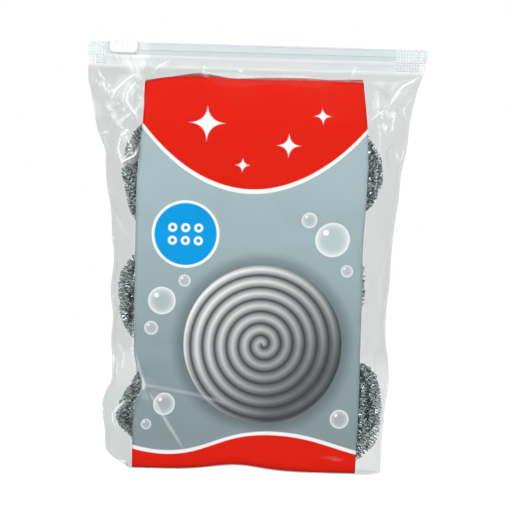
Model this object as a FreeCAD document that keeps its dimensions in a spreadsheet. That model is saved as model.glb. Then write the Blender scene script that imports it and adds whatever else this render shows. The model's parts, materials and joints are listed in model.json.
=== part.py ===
"""A pack of six curled-steel pot scourers in a clear slider-zip bag with a printed insert.

The pack stands on its folded bottom: +X runs along the zip, +Y to the back of the pack, +Z up.
The origin is the middle of the bottom fold, and every size is in millimetres.
"""

import FreeCAD
import Part
import Sketcher
import math
import os
import re

Vector = FreeCAD.Vector

# Driving dimensions, one spreadsheet cell each
DIMENSIONS = {
    # Scourers: one curled strand each, wound in four layers
    "scourer_diameter": 70.0,
    "strand_diameter": 7.0,
    "strand_gap": 0.7,
    "dome_step": 6.0,
    "eye_radius": 6.5,
    "column_gap": 16.0,
    "shift_travel": 7.0,
    # Clearances
    "seat": 0.3,
    "slip": 0.15,
    # Clear film bag
    "film": 0.2,
    "bag_width": 200.0,
    "seal_width": 3.5,
    "side_slack": 1.0,
    "side_round": 6.0,
    "foot_inset": 4.0,
    "foot_height": 12.0,
    "flare_length": 75.0,
    "neck_height": 31.0,
    "film_lap": 5.5,
    # Printed insert, one sheet folded under the scourers
    "insert_width": 132.0,
    "insert_shift": 2.0,
    "insert_thickness": 0.25,
    "insert_lip": 24.0,
    "insert_back_rise": 1.5,
    "insert_bend": 3.0,
    # Zip: a hooked strip and a grooved strip, crushed together at both ends
    "zip_height": 13.0,
    "zip_wall": 0.5,
    "zip_space": 1.4,
    "zip_end_left": 11.0,
    "zip_end_right": 19.0,
    "lock_height": 6.5,
    "hook_stem": 0.4,
    "hook_head": 1.0,
    "hook_tip": 0.4,
    "hook_length": 0.45,
    "hook_play": 0.1,
    "jaw_wall": 0.4,
    "jaw_depth": 1.0,
    "rail_height": 9.0,
    "rail_width": 1.2,
    "rail_depth": 0.7,
    "bead_width": 0.8,
    "bead_depth": 0.35,
    # Slider
    "slider_length": 16.5,
    "slider_wall": 1.1,
    "slider_roof": 1.2,
    "slider_lip": 1.7,
    "slider_play": 0.3,
    "slider_stop": 1.75,
    "slider_corner": 0.9,
    "slider_edge": 0.5,
    "plow_width": 0.7,
    "plow_depth": 3.3,
    "grip_count": 5,
    "grip_pitch": 2.0,
    "grip_width": 0.9,
    "grip_depth": 0.3,
    "grip_length": 5.0,
}

# Sizes that follow from the driving dimensions
DERIVED = {
    "pitch": "strand_diameter + strand_gap",
    "scourer_depth": "3*pitch + strand_diameter",
    "rim_radius": "(scourer_diameter - strand_diameter)/2",
    "face_radius": "rim_radius - dome_step",
    "column_x": "column_gap/2 + scourer_diameter/2",
    "insert_inner": "scourer_depth/2 + seat",
    "insert_outer": "insert_inner + insert_thickness",
    "inside": "insert_outer + slip",
    "insert_floor": "film + slip",
    "first_seat": "insert_floor + insert_thickness + seat",
    "row_pitch": "scourer_diameter + seat",
    "top_row": "first_seat + scourer_diameter/2 + 2*row_pitch",
    "shoulder": "top_row + face_radius + strand_diameter/2 + seat",
    "zip_bottom": "shoulder + neck_height",
    "zip_top": "zip_bottom + zip_height",
    "film_top": "zip_bottom + film_lap",
    "insert_top": "shoulder + insert_lip",
    "flat_half": "insert_width/2 + insert_shift + 4*slip",
    "insert_clear": "flat_half + side_round",
    "scourer_clear": "column_x + scourer_diameter/2 + pitch/8 + side_slack",
    "belly_meet": "max(scourer_clear; insert_clear)",
    "foot_meet": "max(belly_meet - foot_inset; insert_clear)",
    "shoulder_meet": "(belly_meet + zip_meet)/2",
    "flare_start": "shoulder - flare_length",
    "zip_meet": "bag_width/2 - seal_width",
    "zip_flat": "zip_meet - zip_outer",
    "zip_inner": "zip_space/2",
    "zip_outer": "zip_inner + zip_wall",
    "strip_length": "bag_width - zip_end_left - zip_end_right",
    "strip_shift": "(zip_end_left - zip_end_right)/2",
    "neck_slope": "(inside - zip_outer)/neck_height",
    "lock": "zip_bottom + lock_height",
    "head_back": "hook_play",
    "groove_half": "hook_head/2 + 1.5*hook_play",
    "throat_half": "hook_stem/2 + hook_play",
    "jaw_front": "zip_inner - jaw_depth",
    "rail_low": "zip_bottom + rail_height - rail_width/2",
    "rail_high": "zip_bottom + rail_height + rail_width/2",
    "rail_outer": "zip_outer + rail_depth",
    "bead_low": "zip_top - bead_width",
    "bead_outer": "zip_outer + bead_depth",
    "channel": "rail_outer + slider_play",
    "slider_half": "channel + slider_wall",
    "lip_inner": "zip_outer + slider_play",
    "lip_high": "rail_low - slider_play",
    "lip_low": "lip_high - slider_lip",
    "ceiling": "zip_top + 2*slider_play",
    "slider_top": "ceiling + slider_roof",
    "slider_rest": "zip_end_left - bag_width/2 + slider_stop + slider_length/2",
    "grip_low": "(lip_low + slider_top - grip_length)/2",
}

# The strand is drawn in quarter turns, and its gap to itself is measured at points this far apart
QUARTER_TURN = math.pi / 2
PROBE_STEP = 1.5

doc = FreeCAD.newDocument("scourer_pack")
sheet = doc.addObject("Spreadsheet::Sheet", "dims")
for row, (alias, number) in enumerate(DIMENSIONS.items(), start=1):
    sheet.set(f"A{row}", alias)
    sheet.set(f"B{row}", str(number))
    sheet.setAlias(f"B{row}", alias)
doc.recompute()


def bound(text):
    """The text with every size spelled out down to the cells of the spreadsheet."""

    def spelled(match):
        word = match.group(0)
        if word in DERIVED:
            return f"({bound(DERIVED[word])})"
        return f"dims.{word}" if word in DIMENSIONS else word

    return re.sub(r"[a-z_]+", spelled, text)


def size(text):
    """The number of millimetres that a size text stands for."""
    return float(sheet.evalExpression(bound(text)))


def body(label):
    """A new body for one piece of the pack."""
    made = doc.addObject("PartDesign::Body", label)
    made.Label = label
    return made


def plane_of(owner, role):
    """One of the three origin planes of a body."""
    return next(o for o in owner.Origin.OriginFeatures if o.Role == role)


def sketch_on(owner, name, role, offset="0"):
    """An empty sketch on an origin plane of its body, moved off it along its normal."""
    made = owner.newObject("Sketcher::SketchObject", name)
    made.AttachmentSupport = [(plane_of(owner, role), "")]
    made.MapMode = "FlatFace"
    made.setExpression("AttachmentOffset.Base.z", bound(offset))
    return made


def draw(sketch, corners, arcs=None):
    """A closed outline through corners given as size texts.

    arcs maps a corner's index to (centre x, centre y, radius): the edge that leaves that corner
    is then an arc of under a half circle about that centre, and otherwise it is a line.
    """
    arcs = arcs or {}
    points = [Vector(size(x), size(y), 0) for x, y in corners]
    count = len(points)
    first_edge = sketch.GeometryCount
    ends = []
    for i, start in enumerate(points):
        end = points[(i + 1) % count]
        if i not in arcs:
            sketch.addGeometry(Part.LineSegment(start, end), False)
            ends.append((1, 2))
            continue
        centre = Vector(size(arcs[i][0]), size(arcs[i][1]), 0)
        forward = (start - centre).cross(end - centre).z > 0
        low, high = (start, end) if forward else (end, start)
        angles = [math.atan2(p.y - centre.y, p.x - centre.x) for p in (low, high)]
        circle = Part.Circle(centre, Vector(0, 0, 1), (start - centre).Length)
        sketch.addGeometry(Part.ArcOfCircle(circle, angles[0], angles[1]), False)
        ends.append((1, 2) if forward else (2, 1))
    for i in range(count):
        edge = first_edge + i
        following = first_edge + (i + 1) % count
        leave = ends[(i + 1) % count][0]
        sketch.addConstraint(Sketcher.Constraint("Coincident", edge, ends[i][1], following, leave))
    for i, (x, y) in enumerate(corners):
        for axis, text, value in (("DistanceX", x, points[i].x), ("DistanceY", y, points[i].y)):
            tie = Sketcher.Constraint(axis, -1, 1, first_edge + i, ends[i][0], value)
            sketch.setExpression(f"Constraints[{sketch.addConstraint(tie)}]", bound(text))
    for i, (_, _, radius) in arcs.items():
        tie = Sketcher.Constraint("Radius", first_edge + i, size(radius))
        sketch.setExpression(f"Constraints[{sketch.addConstraint(tie)}]", bound(radius))


def pad(owner, profile, length, symmetric=True):
    """A pad of a sketch, to both sides of its plane or to one."""
    made = owner.newObject("PartDesign::Pad", f"{owner.Label}_pad")
    made.Profile = profile
    made.SideType = "Symmetric" if symmetric else "One side"
    made.setExpression("Length", bound(length))
    return made


# Film bag: heights at which a panel's section is set, with the section's sizes there
STATIONS = [
    ("0", "flat_half", "foot_meet", "inside"),
    ("foot_height", "flat_half", "belly_meet", "inside"),
    ("flare_start", "flat_half", "belly_meet", "inside"),
    ("shoulder", "flat_half", "shoulder_meet", "inside"),
    ("zip_bottom", "zip_flat", "zip_meet", "zip_outer"),
    ("film_top", "zip_flat", "zip_meet", "zip_outer"),
]


def panel_section(sketch, side, flat, meet, depth):
    """One wall of the bag seen from above: a flat front, two rounded sides and two seal fins."""
    radius = f"((({meet}) - ({flat}))^2 + ({depth})^2)/(2*({depth}))"
    centre_y = f"{side}*(({depth}) - {radius})"
    edge = f"({meet}) + seal_width"
    outer_meet = f"({flat}) + sqrt(({radius} + film)^2 - (film - ({depth}) + {radius})^2)"
    outer_y = f"{side}*(({depth}) + film)"
    fin_y = f"{side}*film"
    corners = [
        (f"-({edge})", "0"),
        (f"-({meet})", "0"),
        (f"-({flat})", f"{side}*({depth})"),
        (flat, f"{side}*({depth})"),
        (meet, "0"),
        (edge, "0"),
        (edge, fin_y),
        (outer_meet, fin_y),
        (flat, outer_y),
        (f"-({flat})", outer_y),
        (f"-({outer_meet})", fin_y),
        (f"-({edge})", fin_y),
    ]
    arcs = {
        1: (f"-({flat})", centre_y, radius),
        3: (flat, centre_y, radius),
        7: (flat, centre_y, f"{radius} + film"),
        9: (f"-({flat})", centre_y, f"{radius} + film"),
    }
    draw(sketch, corners, arcs)


def film_panel(label, side):
    """The front wall of the bag (side -1) or the back wall (side 1)."""
    owner = body(label)
    sections = []
    for i, (height, flat, meet, depth) in enumerate(STATIONS):
        section = sketch_on(owner, f"{label}_section_{i}", "XY_Plane", height)
        panel_section(section, side, flat, meet, depth)
        sections.append(section)
    doc.recompute()
    loft = owner.newObject("PartDesign::AdditiveLoft", f"{label}_loft")
    loft.Profile = sections[0]
    loft.Sections = sections[1:]
    loft.Ruled = True
    return owner


def bottom_fold(label):
    """The folded strip of film that the pack stands on, between the two walls."""
    owner = body(label)
    radius = "((foot_meet - flat_half)^2 + inside^2)/(2*inside)"
    tip = f"flat_half + sqrt(({radius} - slip)^2 - (inside - {radius})^2)"
    depth = "inside - slip"
    drop = f"inside - {radius}"
    corners = [
        ("-flat_half", f"-({depth})"),
        ("flat_half", f"-({depth})"),
        (tip, "0"),
        ("flat_half", depth),
        ("-flat_half", depth),
        (f"-({tip})", "0"),
    ]
    arcs = {
        1: ("flat_half", f"-({drop})", f"{radius} - slip"),
        2: ("flat_half", drop, f"{radius} - slip"),
        4: ("-flat_half", drop, f"{radius} - slip"),
        5: ("-flat_half", f"-({drop})", f"{radius} - slip"),
    }
    outline = sketch_on(owner, f"{label}_outline", "XY_Plane")
    draw(outline, corners, arcs)
    pad(owner, outline, "film", symmetric=False)
    return owner


def printed_insert(label):
    """One printed sheet: front panel, fold under the scourers and back panel."""
    owner = body(label)
    bend_y = "insert_outer - insert_bend"
    bend_z = "insert_floor + insert_bend"
    knee = "shoulder - slip"
    outer, inner = [], []
    for side, top in (("-1", "insert_top"), ("1", "insert_top + insert_back_rise")):
        lean = f"neck_slope*({top} - {knee})"
        outer.append(
            [
                (f"{side}*(insert_outer - {lean})", top),
                (f"{side}*insert_outer", knee),
                (f"{side}*insert_outer", bend_z),
                (f"{side}*({bend_y})", "insert_floor"),
            ]
        )
        inner.append(
            [
                (f"{side}*(insert_inner - {lean})", top),
                (f"{side}*insert_inner", knee),
                (f"{side}*insert_inner", bend_z),
                (f"{side}*({bend_y})", "insert_floor + insert_thickness"),
            ]
        )
    corners = outer[0] + outer[1][::-1] + inner[1] + inner[0][::-1]
    outer_bend = "insert_bend"
    inner_bend = "insert_bend - insert_thickness"
    arcs = {
        2: (f"-({bend_y})", bend_z, outer_bend),
        4: (bend_y, bend_z, outer_bend),
        10: (bend_y, bend_z, inner_bend),
        12: (f"-({bend_y})", bend_z, inner_bend),
    }
    profile = sketch_on(owner, f"{label}_profile", "YZ_Plane")
    draw(profile, corners, arcs)
    pad(owner, profile, "insert_width")
    owner.setExpression("Placement.Base.x", bound("-insert_shift"))
    return owner


def outside_of_strip(side):
    """The outer face of a zip strip, from its foot to its top: plain wall, slider rail and top bead."""
    return [
        (f"{side}*zip_outer", "zip_bottom"),
        (f"{side}*zip_outer", "rail_low"),
        (f"{side}*rail_outer", "rail_low"),
        (f"{side}*rail_outer", "rail_high"),
        (f"{side}*zip_outer", "rail_high"),
        (f"{side}*zip_outer", "bead_low"),
        (f"{side}*bead_outer", "bead_low"),
        (f"{side}*bead_outer", "zip_top"),
        (f"{side}*zip_inner", "zip_top"),
    ]


def hook_strip(label):
    """The front zip strip, with the arrow-shaped hook on its inner face."""
    owner = body(label)
    hook = [
        ("-zip_inner", "lock + hook_stem/2"),
        ("head_back", "lock + hook_stem/2"),
        ("head_back", "lock + hook_head/2"),
        ("head_back + hook_length", "lock + hook_tip/2"),
        ("head_back + hook_length", "lock - hook_tip/2"),
        ("head_back", "lock - hook_head/2"),
        ("head_back", "lock - hook_stem/2"),
        ("-zip_inner", "lock - hook_stem/2"),
        ("-zip_inner", "zip_bottom"),
    ]
    profile = sketch_on(owner, f"{label}_profile", "YZ_Plane")
    draw(profile, outside_of_strip("-1") + hook)
    pad(owner, profile, "strip_length")
    owner.setExpression("Placement.Base.x", bound("strip_shift"))
    return owner


def groove_strip(label):
    """The back zip strip, with two jaws that close behind the hook."""
    owner = body(label)
    upper = [
        ("zip_inner", "lock + groove_half + jaw_wall"),
        ("jaw_front", "lock + groove_half + jaw_wall"),
        ("jaw_front", "lock + throat_half"),
        ("0", "lock + throat_half"),
        ("0", "lock + groove_half"),
        ("zip_inner", "lock + groove_half"),
    ]
    lower = [(y, z.replace("+", "-")) for y, z in reversed(upper)]
    profile = sketch_on(owner, f"{label}_profile", "YZ_Plane")
    draw(profile, outside_of_strip("1") + upper + lower + [("zip_inner", "zip_bottom")])
    pad(owner, profile, "strip_length")
    owner.setExpression("Placement.Base.x", bound("strip_shift"))
    return owner


def zip_end(label, side, length):
    """The crushed end of the zip, which stops the slider: full length above the film, tucked in below."""
    owner = body(label)
    start = f"{side}*(bag_width/2 - {length})"
    corners = [
        (start, "zip_bottom"),
        (f"{side}*(zip_flat - slip)", "zip_bottom"),
        (f"{side}*(zip_flat - slip)", "film_top"),
        (f"{side}*bag_width/2", "film_top"),
        (f"{side}*bag_width/2", "zip_top"),
        (start, "zip_top"),
    ]
    outline = sketch_on(owner, f"{label}_outline", "XZ_Plane")
    draw(outline, corners)
    pad(owner, outline, "2*zip_outer")
    return owner


def zip_slider(label):
    """The slider: a roof and two walls over the zip, lips under its rails, a plow between its strips."""
    owner = body(label)
    right = [
        ("slider_half", "slider_top"),
        ("slider_half", "lip_low"),
        ("lip_inner", "lip_low"),
        ("lip_inner", "lip_high"),
        ("channel", "lip_high"),
        ("channel", "ceiling"),
        ("plow_width/2", "ceiling"),
        ("plow_width/2", "ceiling - plow_depth"),
    ]
    left = [(f"-({y})", z) for y, z in reversed(right)]
    profile = sketch_on(owner, f"{label}_profile", "YZ_Plane")
    draw(profile, right + left)
    block = pad(owner, profile, "slider_length")
    doc.recompute()
    corner = owner.newObject("PartDesign::Fillet", f"{label}_corners")
    corner.Base = (block, upright_corners(block.Shape))
    corner.setExpression("Radius", bound("slider_corner"))
    doc.recompute()
    rim = owner.newObject("PartDesign::Fillet", f"{label}_rim")
    rim.Base = (corner, roof_edges(corner.Shape))
    rim.setExpression("Radius", bound("slider_edge"))
    grips = sketch_on(owner, f"{label}_grip_slots", "XZ_Plane", "slider_half")
    for i in range(int(size("grip_count"))):
        middle = f"({i} - (grip_count - 1)/2)*grip_pitch"
        low_x = f"{middle} - grip_width/2"
        high_x = f"{middle} + grip_width/2"
        high_z = "grip_low + grip_length"
        draw(grips, [(low_x, "grip_low"), (high_x, "grip_low"), (high_x, high_z), (low_x, high_z)])
    doc.recompute()
    slots = owner.newObject("PartDesign::Pocket", f"{label}_grips")
    slots.Profile = grips
    slots.setExpression("Length", bound("grip_depth"))
    doc.recompute()
    other_side = owner.newObject("PartDesign::Mirrored", f"{label}_grips_behind")
    other_side.Originals = [slots]
    other_side.MirrorPlane = (plane_of(owner, "XZ_Plane"), [""])
    owner.Tip = other_side
    owner.setExpression("Placement.Base.x", bound("slider_rest"))
    return owner


def upright_corners(shape):
    """The names of the four outermost upright edges of the slider."""
    reach = size("slider_half")
    names = []
    for i, edge in enumerate(shape.Edges, start=1):
        ends = [v.Point for v in edge.Vertexes]
        upright = abs(ends[0].x - ends[1].x) < 1e-6 and abs(ends[0].y - ends[1].y) < 1e-6
        if upright and abs(abs(ends[0].y) - reach) < 1e-6:
            names.append(f"Edge{i}")
    return names


def roof_edges(shape):
    """The names of the edges around the slider's top face."""
    top = size("slider_top")
    return [
        f"Edge{i}"
        for i, edge in enumerate(shape.Edges, start=1)
        if all(abs(v.Point.z - top) < 1e-6 for v in edge.Vertexes)
    ]


# Scourers
def strand_point(turn):
    """A point on the middle line of the wound strand.

    turn is the angle from the middle of the strand, which crosses the rim between the two inner
    layers. From there the strand spirals in, climbs a layer in a half turn at the eye and spirals
    out again, the same way towards both of its ends.
    """
    step = size("pitch")
    per_radian = step / (2 * math.pi)
    rim = size("rim_radius")
    eye = size("eye_radius")
    spiral = (rim - eye) / per_radian
    away = abs(turn)
    side = math.copysign(1, turn)
    if away <= QUARTER_TURN:
        radius = rim + per_radian * (QUARTER_TURN**2 - away**2) / math.pi
        depth = step / 2 * math.sin(away)
    elif away <= QUARTER_TURN + spiral:
        radius = rim - per_radian * (away - QUARTER_TURN)
        depth = step / 2
    else:
        climb = away - QUARTER_TURN - spiral
        if climb <= math.pi:
            radius = eye - per_radian * climb * (math.pi - climb) / math.pi
            depth = step - step / 2 * math.cos(climb)
        else:
            radius = eye + per_radian * (climb - math.pi)
            depth = 1.5 * step
    return Vector(radius * math.cos(turn), side * depth, -radius * math.sin(turn))


def strand_heading(turn):
    """The unit direction of the strand at a turn."""
    nudge = 1e-5
    return (strand_point(turn + nudge) - strand_point(turn - nudge)).normalize()


def arc_between(start, heading, end):
    """The arc that leaves start along heading and ends at end."""
    chord = end - start
    across = chord - heading * chord.dot(heading)
    if across.Length < 1e-7 * chord.Length:
        return Part.LineSegment(start, end)
    across.normalize()
    radius = chord.dot(chord) / (2 * chord.dot(across))
    centre = start + across * radius
    middle = (start + end) / 2 - centre
    if chord.dot(heading) >= 0:
        return Part.Arc(start, centre + middle.normalize() * radius, end)
    return Part.Arc(start, centre - middle.normalize() * radius, end)


def biarc(start, leave, end, arrive):
    """Two arcs, tangent to each other, from one point and direction to another."""
    chord = end - start
    both = leave + arrive
    turned = 2 * (1 - leave.dot(arrive))
    along = chord.dot(both)
    reach = (-along + math.sqrt(along**2 + turned * chord.dot(chord))) / turned
    joint = (start + leave * reach + end - arrive * reach) / 2
    first = arc_between(start, leave, joint)
    second = arc_between(end, arrive * -1, joint)
    second.reverse()
    return [first.toShape(), second.toShape()]


def strand_turns():
    """The turns at which the strand's arcs meet, about a quarter turn apart, from end to end."""
    per_radian = size("pitch") / (2 * math.pi)
    inner = (size("rim_radius") - size("eye_radius")) / per_radian
    outer = (size("face_radius") - size("eye_radius")) / per_radian
    turns = [0.0]
    for stretch in (QUARTER_TURN, inner, math.pi, outer):
        spans = math.ceil(stretch / QUARTER_TURN - 1e-9)
        turns += [turns[-1] + stretch * (k + 1) / spans for k in range(spans)]
    return [-t for t in reversed(turns[1:])] + turns


def least_gap(turns):
    """The least clear gap between two turns of the strand, measured on points of its middle line."""
    step = PROBE_STEP / size("rim_radius")
    count = int((turns[-1] - turns[0]) / step)
    points = [strand_point(turns[0] + i * step) for i in range(count)]
    apart = [0.0]
    for before, after in zip(points, points[1:]):
        apart.append(apart[-1] + (after - before).Length)
    near = math.pi * size("strand_diameter")
    gaps = [
        (points[i] - points[j]).Length
        for i in range(count)
        for j in range(i)
        if apart[i] - apart[j] > near
    ]
    return min(gaps) - size("strand_diameter")


def wound_strand():
    """The solid of one scourer about its own middle, its axis along Y."""
    turns = strand_turns()
    edges = []
    for begin, finish in zip(turns, turns[1:]):
        ends = (strand_point(begin), strand_heading(begin), strand_point(finish), strand_heading(finish))
        edges += biarc(*ends)
    path = Part.Wire(edges)
    circle = Part.Circle(strand_point(turns[0]), strand_heading(turns[0]), size("strand_diameter") / 2)
    pipe = Part.BRepOffsetAPI.MakePipeShell(path)
    pipe.add(Part.Wire(circle.toShape()))
    pipe.build()
    pipe.makeSolid()
    solid = pipe.shape()
    expected = path.Length * math.pi * size("strand_diameter") ** 2 / 4
    loops = (turns[-1] - turns[0]) / (2 * math.pi)
    print(f"strand: {loops:.1f} loops, {path.Length:.0f} mm, volume {solid.Volume / expected:.4f} of expected")
    print(f"strand: least gap to itself {least_gap(turns):.2f} mm")
    return solid


def scourers():
    """Six scourers in two columns of three; the middle right one lies a little way in.

    The rim of a scourer bulges a little on one side, towards the side seal that the piece lies
    against: all but two of them.
    """
    strand = wound_strand()
    made = []
    for row, row_name in enumerate(("bottom", "middle", "top")):
        for column, column_name in ((-1, "left"), (1, "right")):
            label = f"scourer_{row_name}_{column_name}"
            piece = doc.addObject("Part::Feature", label)
            piece.Label = label
            piece.Shape = strand
            inward = size("shift_travel") if label == "scourer_middle_right" else 0.0
            middle_x = column * (size("column_x") - inward)
            middle_z = size("first_seat") + size("scourer_diameter") / 2 + row * size("row_pitch")
            half_turn = 0 if label == "scourer_bottom_right" else 180
            turned = FreeCAD.Rotation(Vector(0, 0, 1), half_turn)
            piece.Placement = FreeCAD.Placement(Vector(middle_x, 0, middle_z), turned)
            made.append(piece)
    return made


def check(pieces):
    """Stops the build if an object failed or a piece has no sound solid."""
    for item in doc.Objects:
        bad = {"Invalid", "Error"} & set(item.State)
        if bad:
            raise RuntimeError(f"{item.Name} is {bad}")
    for piece in pieces:
        shape = piece.Shape
        if shape.isNull() or not shape.isValid() or not shape.Solids:
            raise RuntimeError(f"{piece.Label} has no valid solid")


def write(pieces):
    """Writes each piece to its own file, named after it."""
    os.makedirs("parts", exist_ok=True)
    for piece in pieces:
        piece.Shape.exportStep(os.path.join("parts", f"{piece.Label}.step"))


pieces = [
    film_panel("bag_front_film", "-1"),
    film_panel("bag_back_film", "1"),
    bottom_fold("bag_bottom_fold"),
    printed_insert("printed_insert"),
    hook_strip("zip_hook_strip"),
    groove_strip("zip_groove_strip"),
    zip_end("zip_end_left", "-1", "zip_end_left"),
    zip_end("zip_end_right", "1", "zip_end_right"),
    zip_slider("zip_slider"),
]
pieces += scourers()
doc.recompute()
check(pieces)
write(pieces)
for piece in pieces:
    box = piece.Shape.optimalBoundingBox()
    spans = [(box.XMin, box.XMax), (box.YMin, box.YMax), (box.ZMin, box.ZMax)]
    print(piece.Label, " ".join(f"{low:.2f}..{high:.2f}" for low, high in spans))
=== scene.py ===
"""Dresses a pack of six curled-steel pot scourers in a clear slider-zip bag with a printed insert.

Lengths are in metres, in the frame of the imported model: +X along the zip, +Y to the back, +Z up.
"""

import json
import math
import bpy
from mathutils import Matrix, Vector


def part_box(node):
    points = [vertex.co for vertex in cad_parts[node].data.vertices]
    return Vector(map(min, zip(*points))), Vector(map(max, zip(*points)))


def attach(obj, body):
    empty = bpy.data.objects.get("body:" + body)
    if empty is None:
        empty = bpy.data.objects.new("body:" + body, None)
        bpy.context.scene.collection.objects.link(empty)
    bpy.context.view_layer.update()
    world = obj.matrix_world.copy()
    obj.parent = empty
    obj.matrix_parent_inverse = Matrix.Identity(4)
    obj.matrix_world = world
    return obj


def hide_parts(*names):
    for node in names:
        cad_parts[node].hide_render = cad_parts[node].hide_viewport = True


bl_info = {
    "name": "Scourer pack",
    "version": (1, 0, 0),
    "blender": (4, 5, 0),
    "location": "View3D > Sidebar > Scourer pack",
    "description": "Curled-steel scourers, crumpled clear bag, zip with slider and printed insert",
    "category": "Object",
}

from functools import partialmethod

import bmesh
import bpy
import numpy as np
from bpy.props import FloatProperty, FloatVectorProperty, IntProperty, PointerProperty
from mathutils import Vector
from mathutils.bvhtree import BVHTree
from mathutils.geometry import delaunay_2d_cdt

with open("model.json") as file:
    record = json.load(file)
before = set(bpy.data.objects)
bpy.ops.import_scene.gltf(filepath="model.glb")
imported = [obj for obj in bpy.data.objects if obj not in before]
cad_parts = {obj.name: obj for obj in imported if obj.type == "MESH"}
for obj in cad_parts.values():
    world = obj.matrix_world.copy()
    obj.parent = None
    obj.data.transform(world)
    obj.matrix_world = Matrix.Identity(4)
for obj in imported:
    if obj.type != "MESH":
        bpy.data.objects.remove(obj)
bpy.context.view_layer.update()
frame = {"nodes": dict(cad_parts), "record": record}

MM = 0.001
FULL_TURN = 2 * math.pi
# More than any distance in the pack, in metres or in radii of a scourer
FAR = 9.0
NODES = frame["nodes"]
BODY_OF = {node: body for body, nodes in frame["record"]["behaviour"]["bodies"].items() for node in nodes}
SCOURERS = sorted(node for node in NODES if node.startswith("scourer_"))
BAG = BODY_OF["bag_front_film"]
INSERT_LOW, INSERT_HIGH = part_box("printed_insert")
STRIP_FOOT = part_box("zip_hook_strip")[0].z
FILM_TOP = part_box("bag_front_film")[1].z
ROW_TOPS = sorted({round(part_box(node)[1].z, 4) for node in SCOURERS})


# Settings


def shown(kind, **more):
    """A maker of settings of one kind, which the panel shows."""

    def setting(name, description, default):
        return kind(name=name, description=description, default=default, **more)

    return setting


in_metres = shown(FloatProperty, unit="LENGTH")
in_radians = shown(FloatProperty, unit="ROTATION")
plain_number = shown(FloatProperty)
whole_number = shown(IntProperty)
in_colour = shown(FloatVectorProperty, subtype="COLOR")
at_place = shown(FloatVectorProperty, subtype="XYZ")


class ScourerSettings(bpy.types.PropertyGroup):
    """Sizes and finish of the curled steel ribbon."""

    curl_radius: in_metres("Curl radius", "Radius of one curl of the ribbon", 2.0 * MM)
    curl_pitch: in_metres("Curl pitch", "Distance from one curl to the next", 1.75 * MM)
    curl_steps: whole_number("Curl steps", "Flat facets in one curl", 6)
    ribbon_width: in_metres("Ribbon width", "Width of the flat ribbon", 0.8 * MM)
    ribbon_thickness: in_metres("Ribbon thickness", "Thickness of the flat ribbon", 0.12 * MM)
    strand_spacing: in_metres("Strand spacing", "Distance between turns of the strand", 2.5 * MM)
    unevenness: plain_number("Unevenness", "How far the curls differ in size", 0.3)
    bunching: in_metres("Bunching", "How far curls crowd together and spread", 1.7 * MM)
    twist: in_radians("Twist", "How far the ribbon turns on its own length", math.radians(55))
    steel: in_colour("Steel", "Colour of the steel", (0.395, 0.452, 0.46))
    roughness: plain_number("Roughness", "Blur of the steel's reflections", 0.24)
    seed: whole_number("Seed", "Start of the random numbers of the windings", 11)


class FilmSettings(bpy.types.PropertyGroup):
    """Sizes and finish of the clear film."""

    thickness: in_metres("Film thickness", "Thickness of the film", 0.08 * MM)
    seal_width: in_metres("Seal width", "Width of the flat side seals", 1.4 * MM)
    crumple: in_metres("Crumple height", "Height of the creases of the loose film", 1.1 * MM)
    # Tint of slack film: partly what the film itself loses, partly painted shade for the dark studio that it
    # would mirror
    tint_and_shade: in_colour("Tint", "What one face of slack film lets through", (0.91, 0.918, 0.915))
    haze: plain_number("Haze", "Share of light that the film scatters", 0.002)
    # How white creases turn: partly whitening, partly a painted highlight
    whitening_and_highlight: plain_number("Whitening", "Share of light that a sharp crease scatters", 0.4)
    gloss: plain_number("Gloss", "Share of light that slack film mirrors straight on", 0.011)
    roughness: plain_number("Roughness", "Blur of the film's reflections", 0.09)
    seed: whole_number("Seed", "Start of the random numbers of the creases", 5)


class InsertSettings(bpy.types.PropertyGroup):
    """Sizes and colours of the printed sheet."""

    thickness: in_metres("Sheet thickness", "Thickness of the sheet", 0.22 * MM)
    dip: in_metres("Dip", "How far the sheet sinks between scourers", 1.6 * MM)
    ground: in_colour("Ground", "Pale field of the print", (0.33, 0.428, 0.45))
    red: in_colour("Red", "Red of the print", (0.69, 0.011, 0.002))
    blue: in_colour("Blue", "Blue of the print", (0.0, 0.31, 0.71))
    white: in_colour("White", "White of the sheet", (0.88, 0.89, 0.89))
    dark: in_colour("Dark", "Darkest grey of the print", (0.045, 0.05, 0.055))


class ZipSettings(bpy.types.PropertyGroup):
    """Sizes and finish of the zip and its slider."""

    dot_pitch: in_metres("Dot pitch", "Distance between crimp dots", 1.7 * MM)
    dot_radius: in_metres("Dot radius", "Radius of one crimp dot", 0.6 * MM)
    slider_corner: in_metres("Slider corner", "Radius of the slider's corners", 3.4 * MM)
    milky: in_colour("Strip", "Colour of the zip strips", (0.75, 0.816, 0.826))
    white: in_colour("Slider", "Colour of the slider", (0.97, 0.97, 0.965))


class StageSettings(bpy.types.PropertyGroup):
    """Camera, lamps and floor."""

    distance: in_metres("Camera distance", "From the camera to the pack's middle", 1.3)
    frame_width: in_metres("Frame width", "What the frame spans at the pack's middle", 0.302)
    roll: in_radians("Camera roll", "How far the pack leans in the frame", math.radians(1.64))
    middle: at_place("Middle", "Point in the middle of the frame", (0.0023, 0.0, 0.1257))
    ambient: plain_number("Ambient", "Strength of the light from all around", 0.4)


SETTINGS = {
    "scourer": ScourerSettings,
    "film": FilmSettings,
    "insert": InsertSettings,
    "zip": ZipSettings,
    "stage": StageSettings,
}


def settings(context, part):
    """The settings of one part of the pack."""
    return getattr(context.scene, f"scourer_pack_{part}")


# Meshes


def placed(name, data):
    """A new object in the scene, at the origin."""
    made = bpy.data.objects.new(name, data)
    bpy.context.scene.collection.objects.link(made)
    return made


def mesh_object(name, points, faces):
    """A new object of smooth faces."""
    mesh = bpy.data.meshes.new(name)
    mesh.from_pydata([tuple(point) for point in points], [], [tuple(face) for face in faces])
    mesh.polygons.foreach_set("use_smooth", [True] * len(mesh.polygons))
    return placed(name, mesh)


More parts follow.
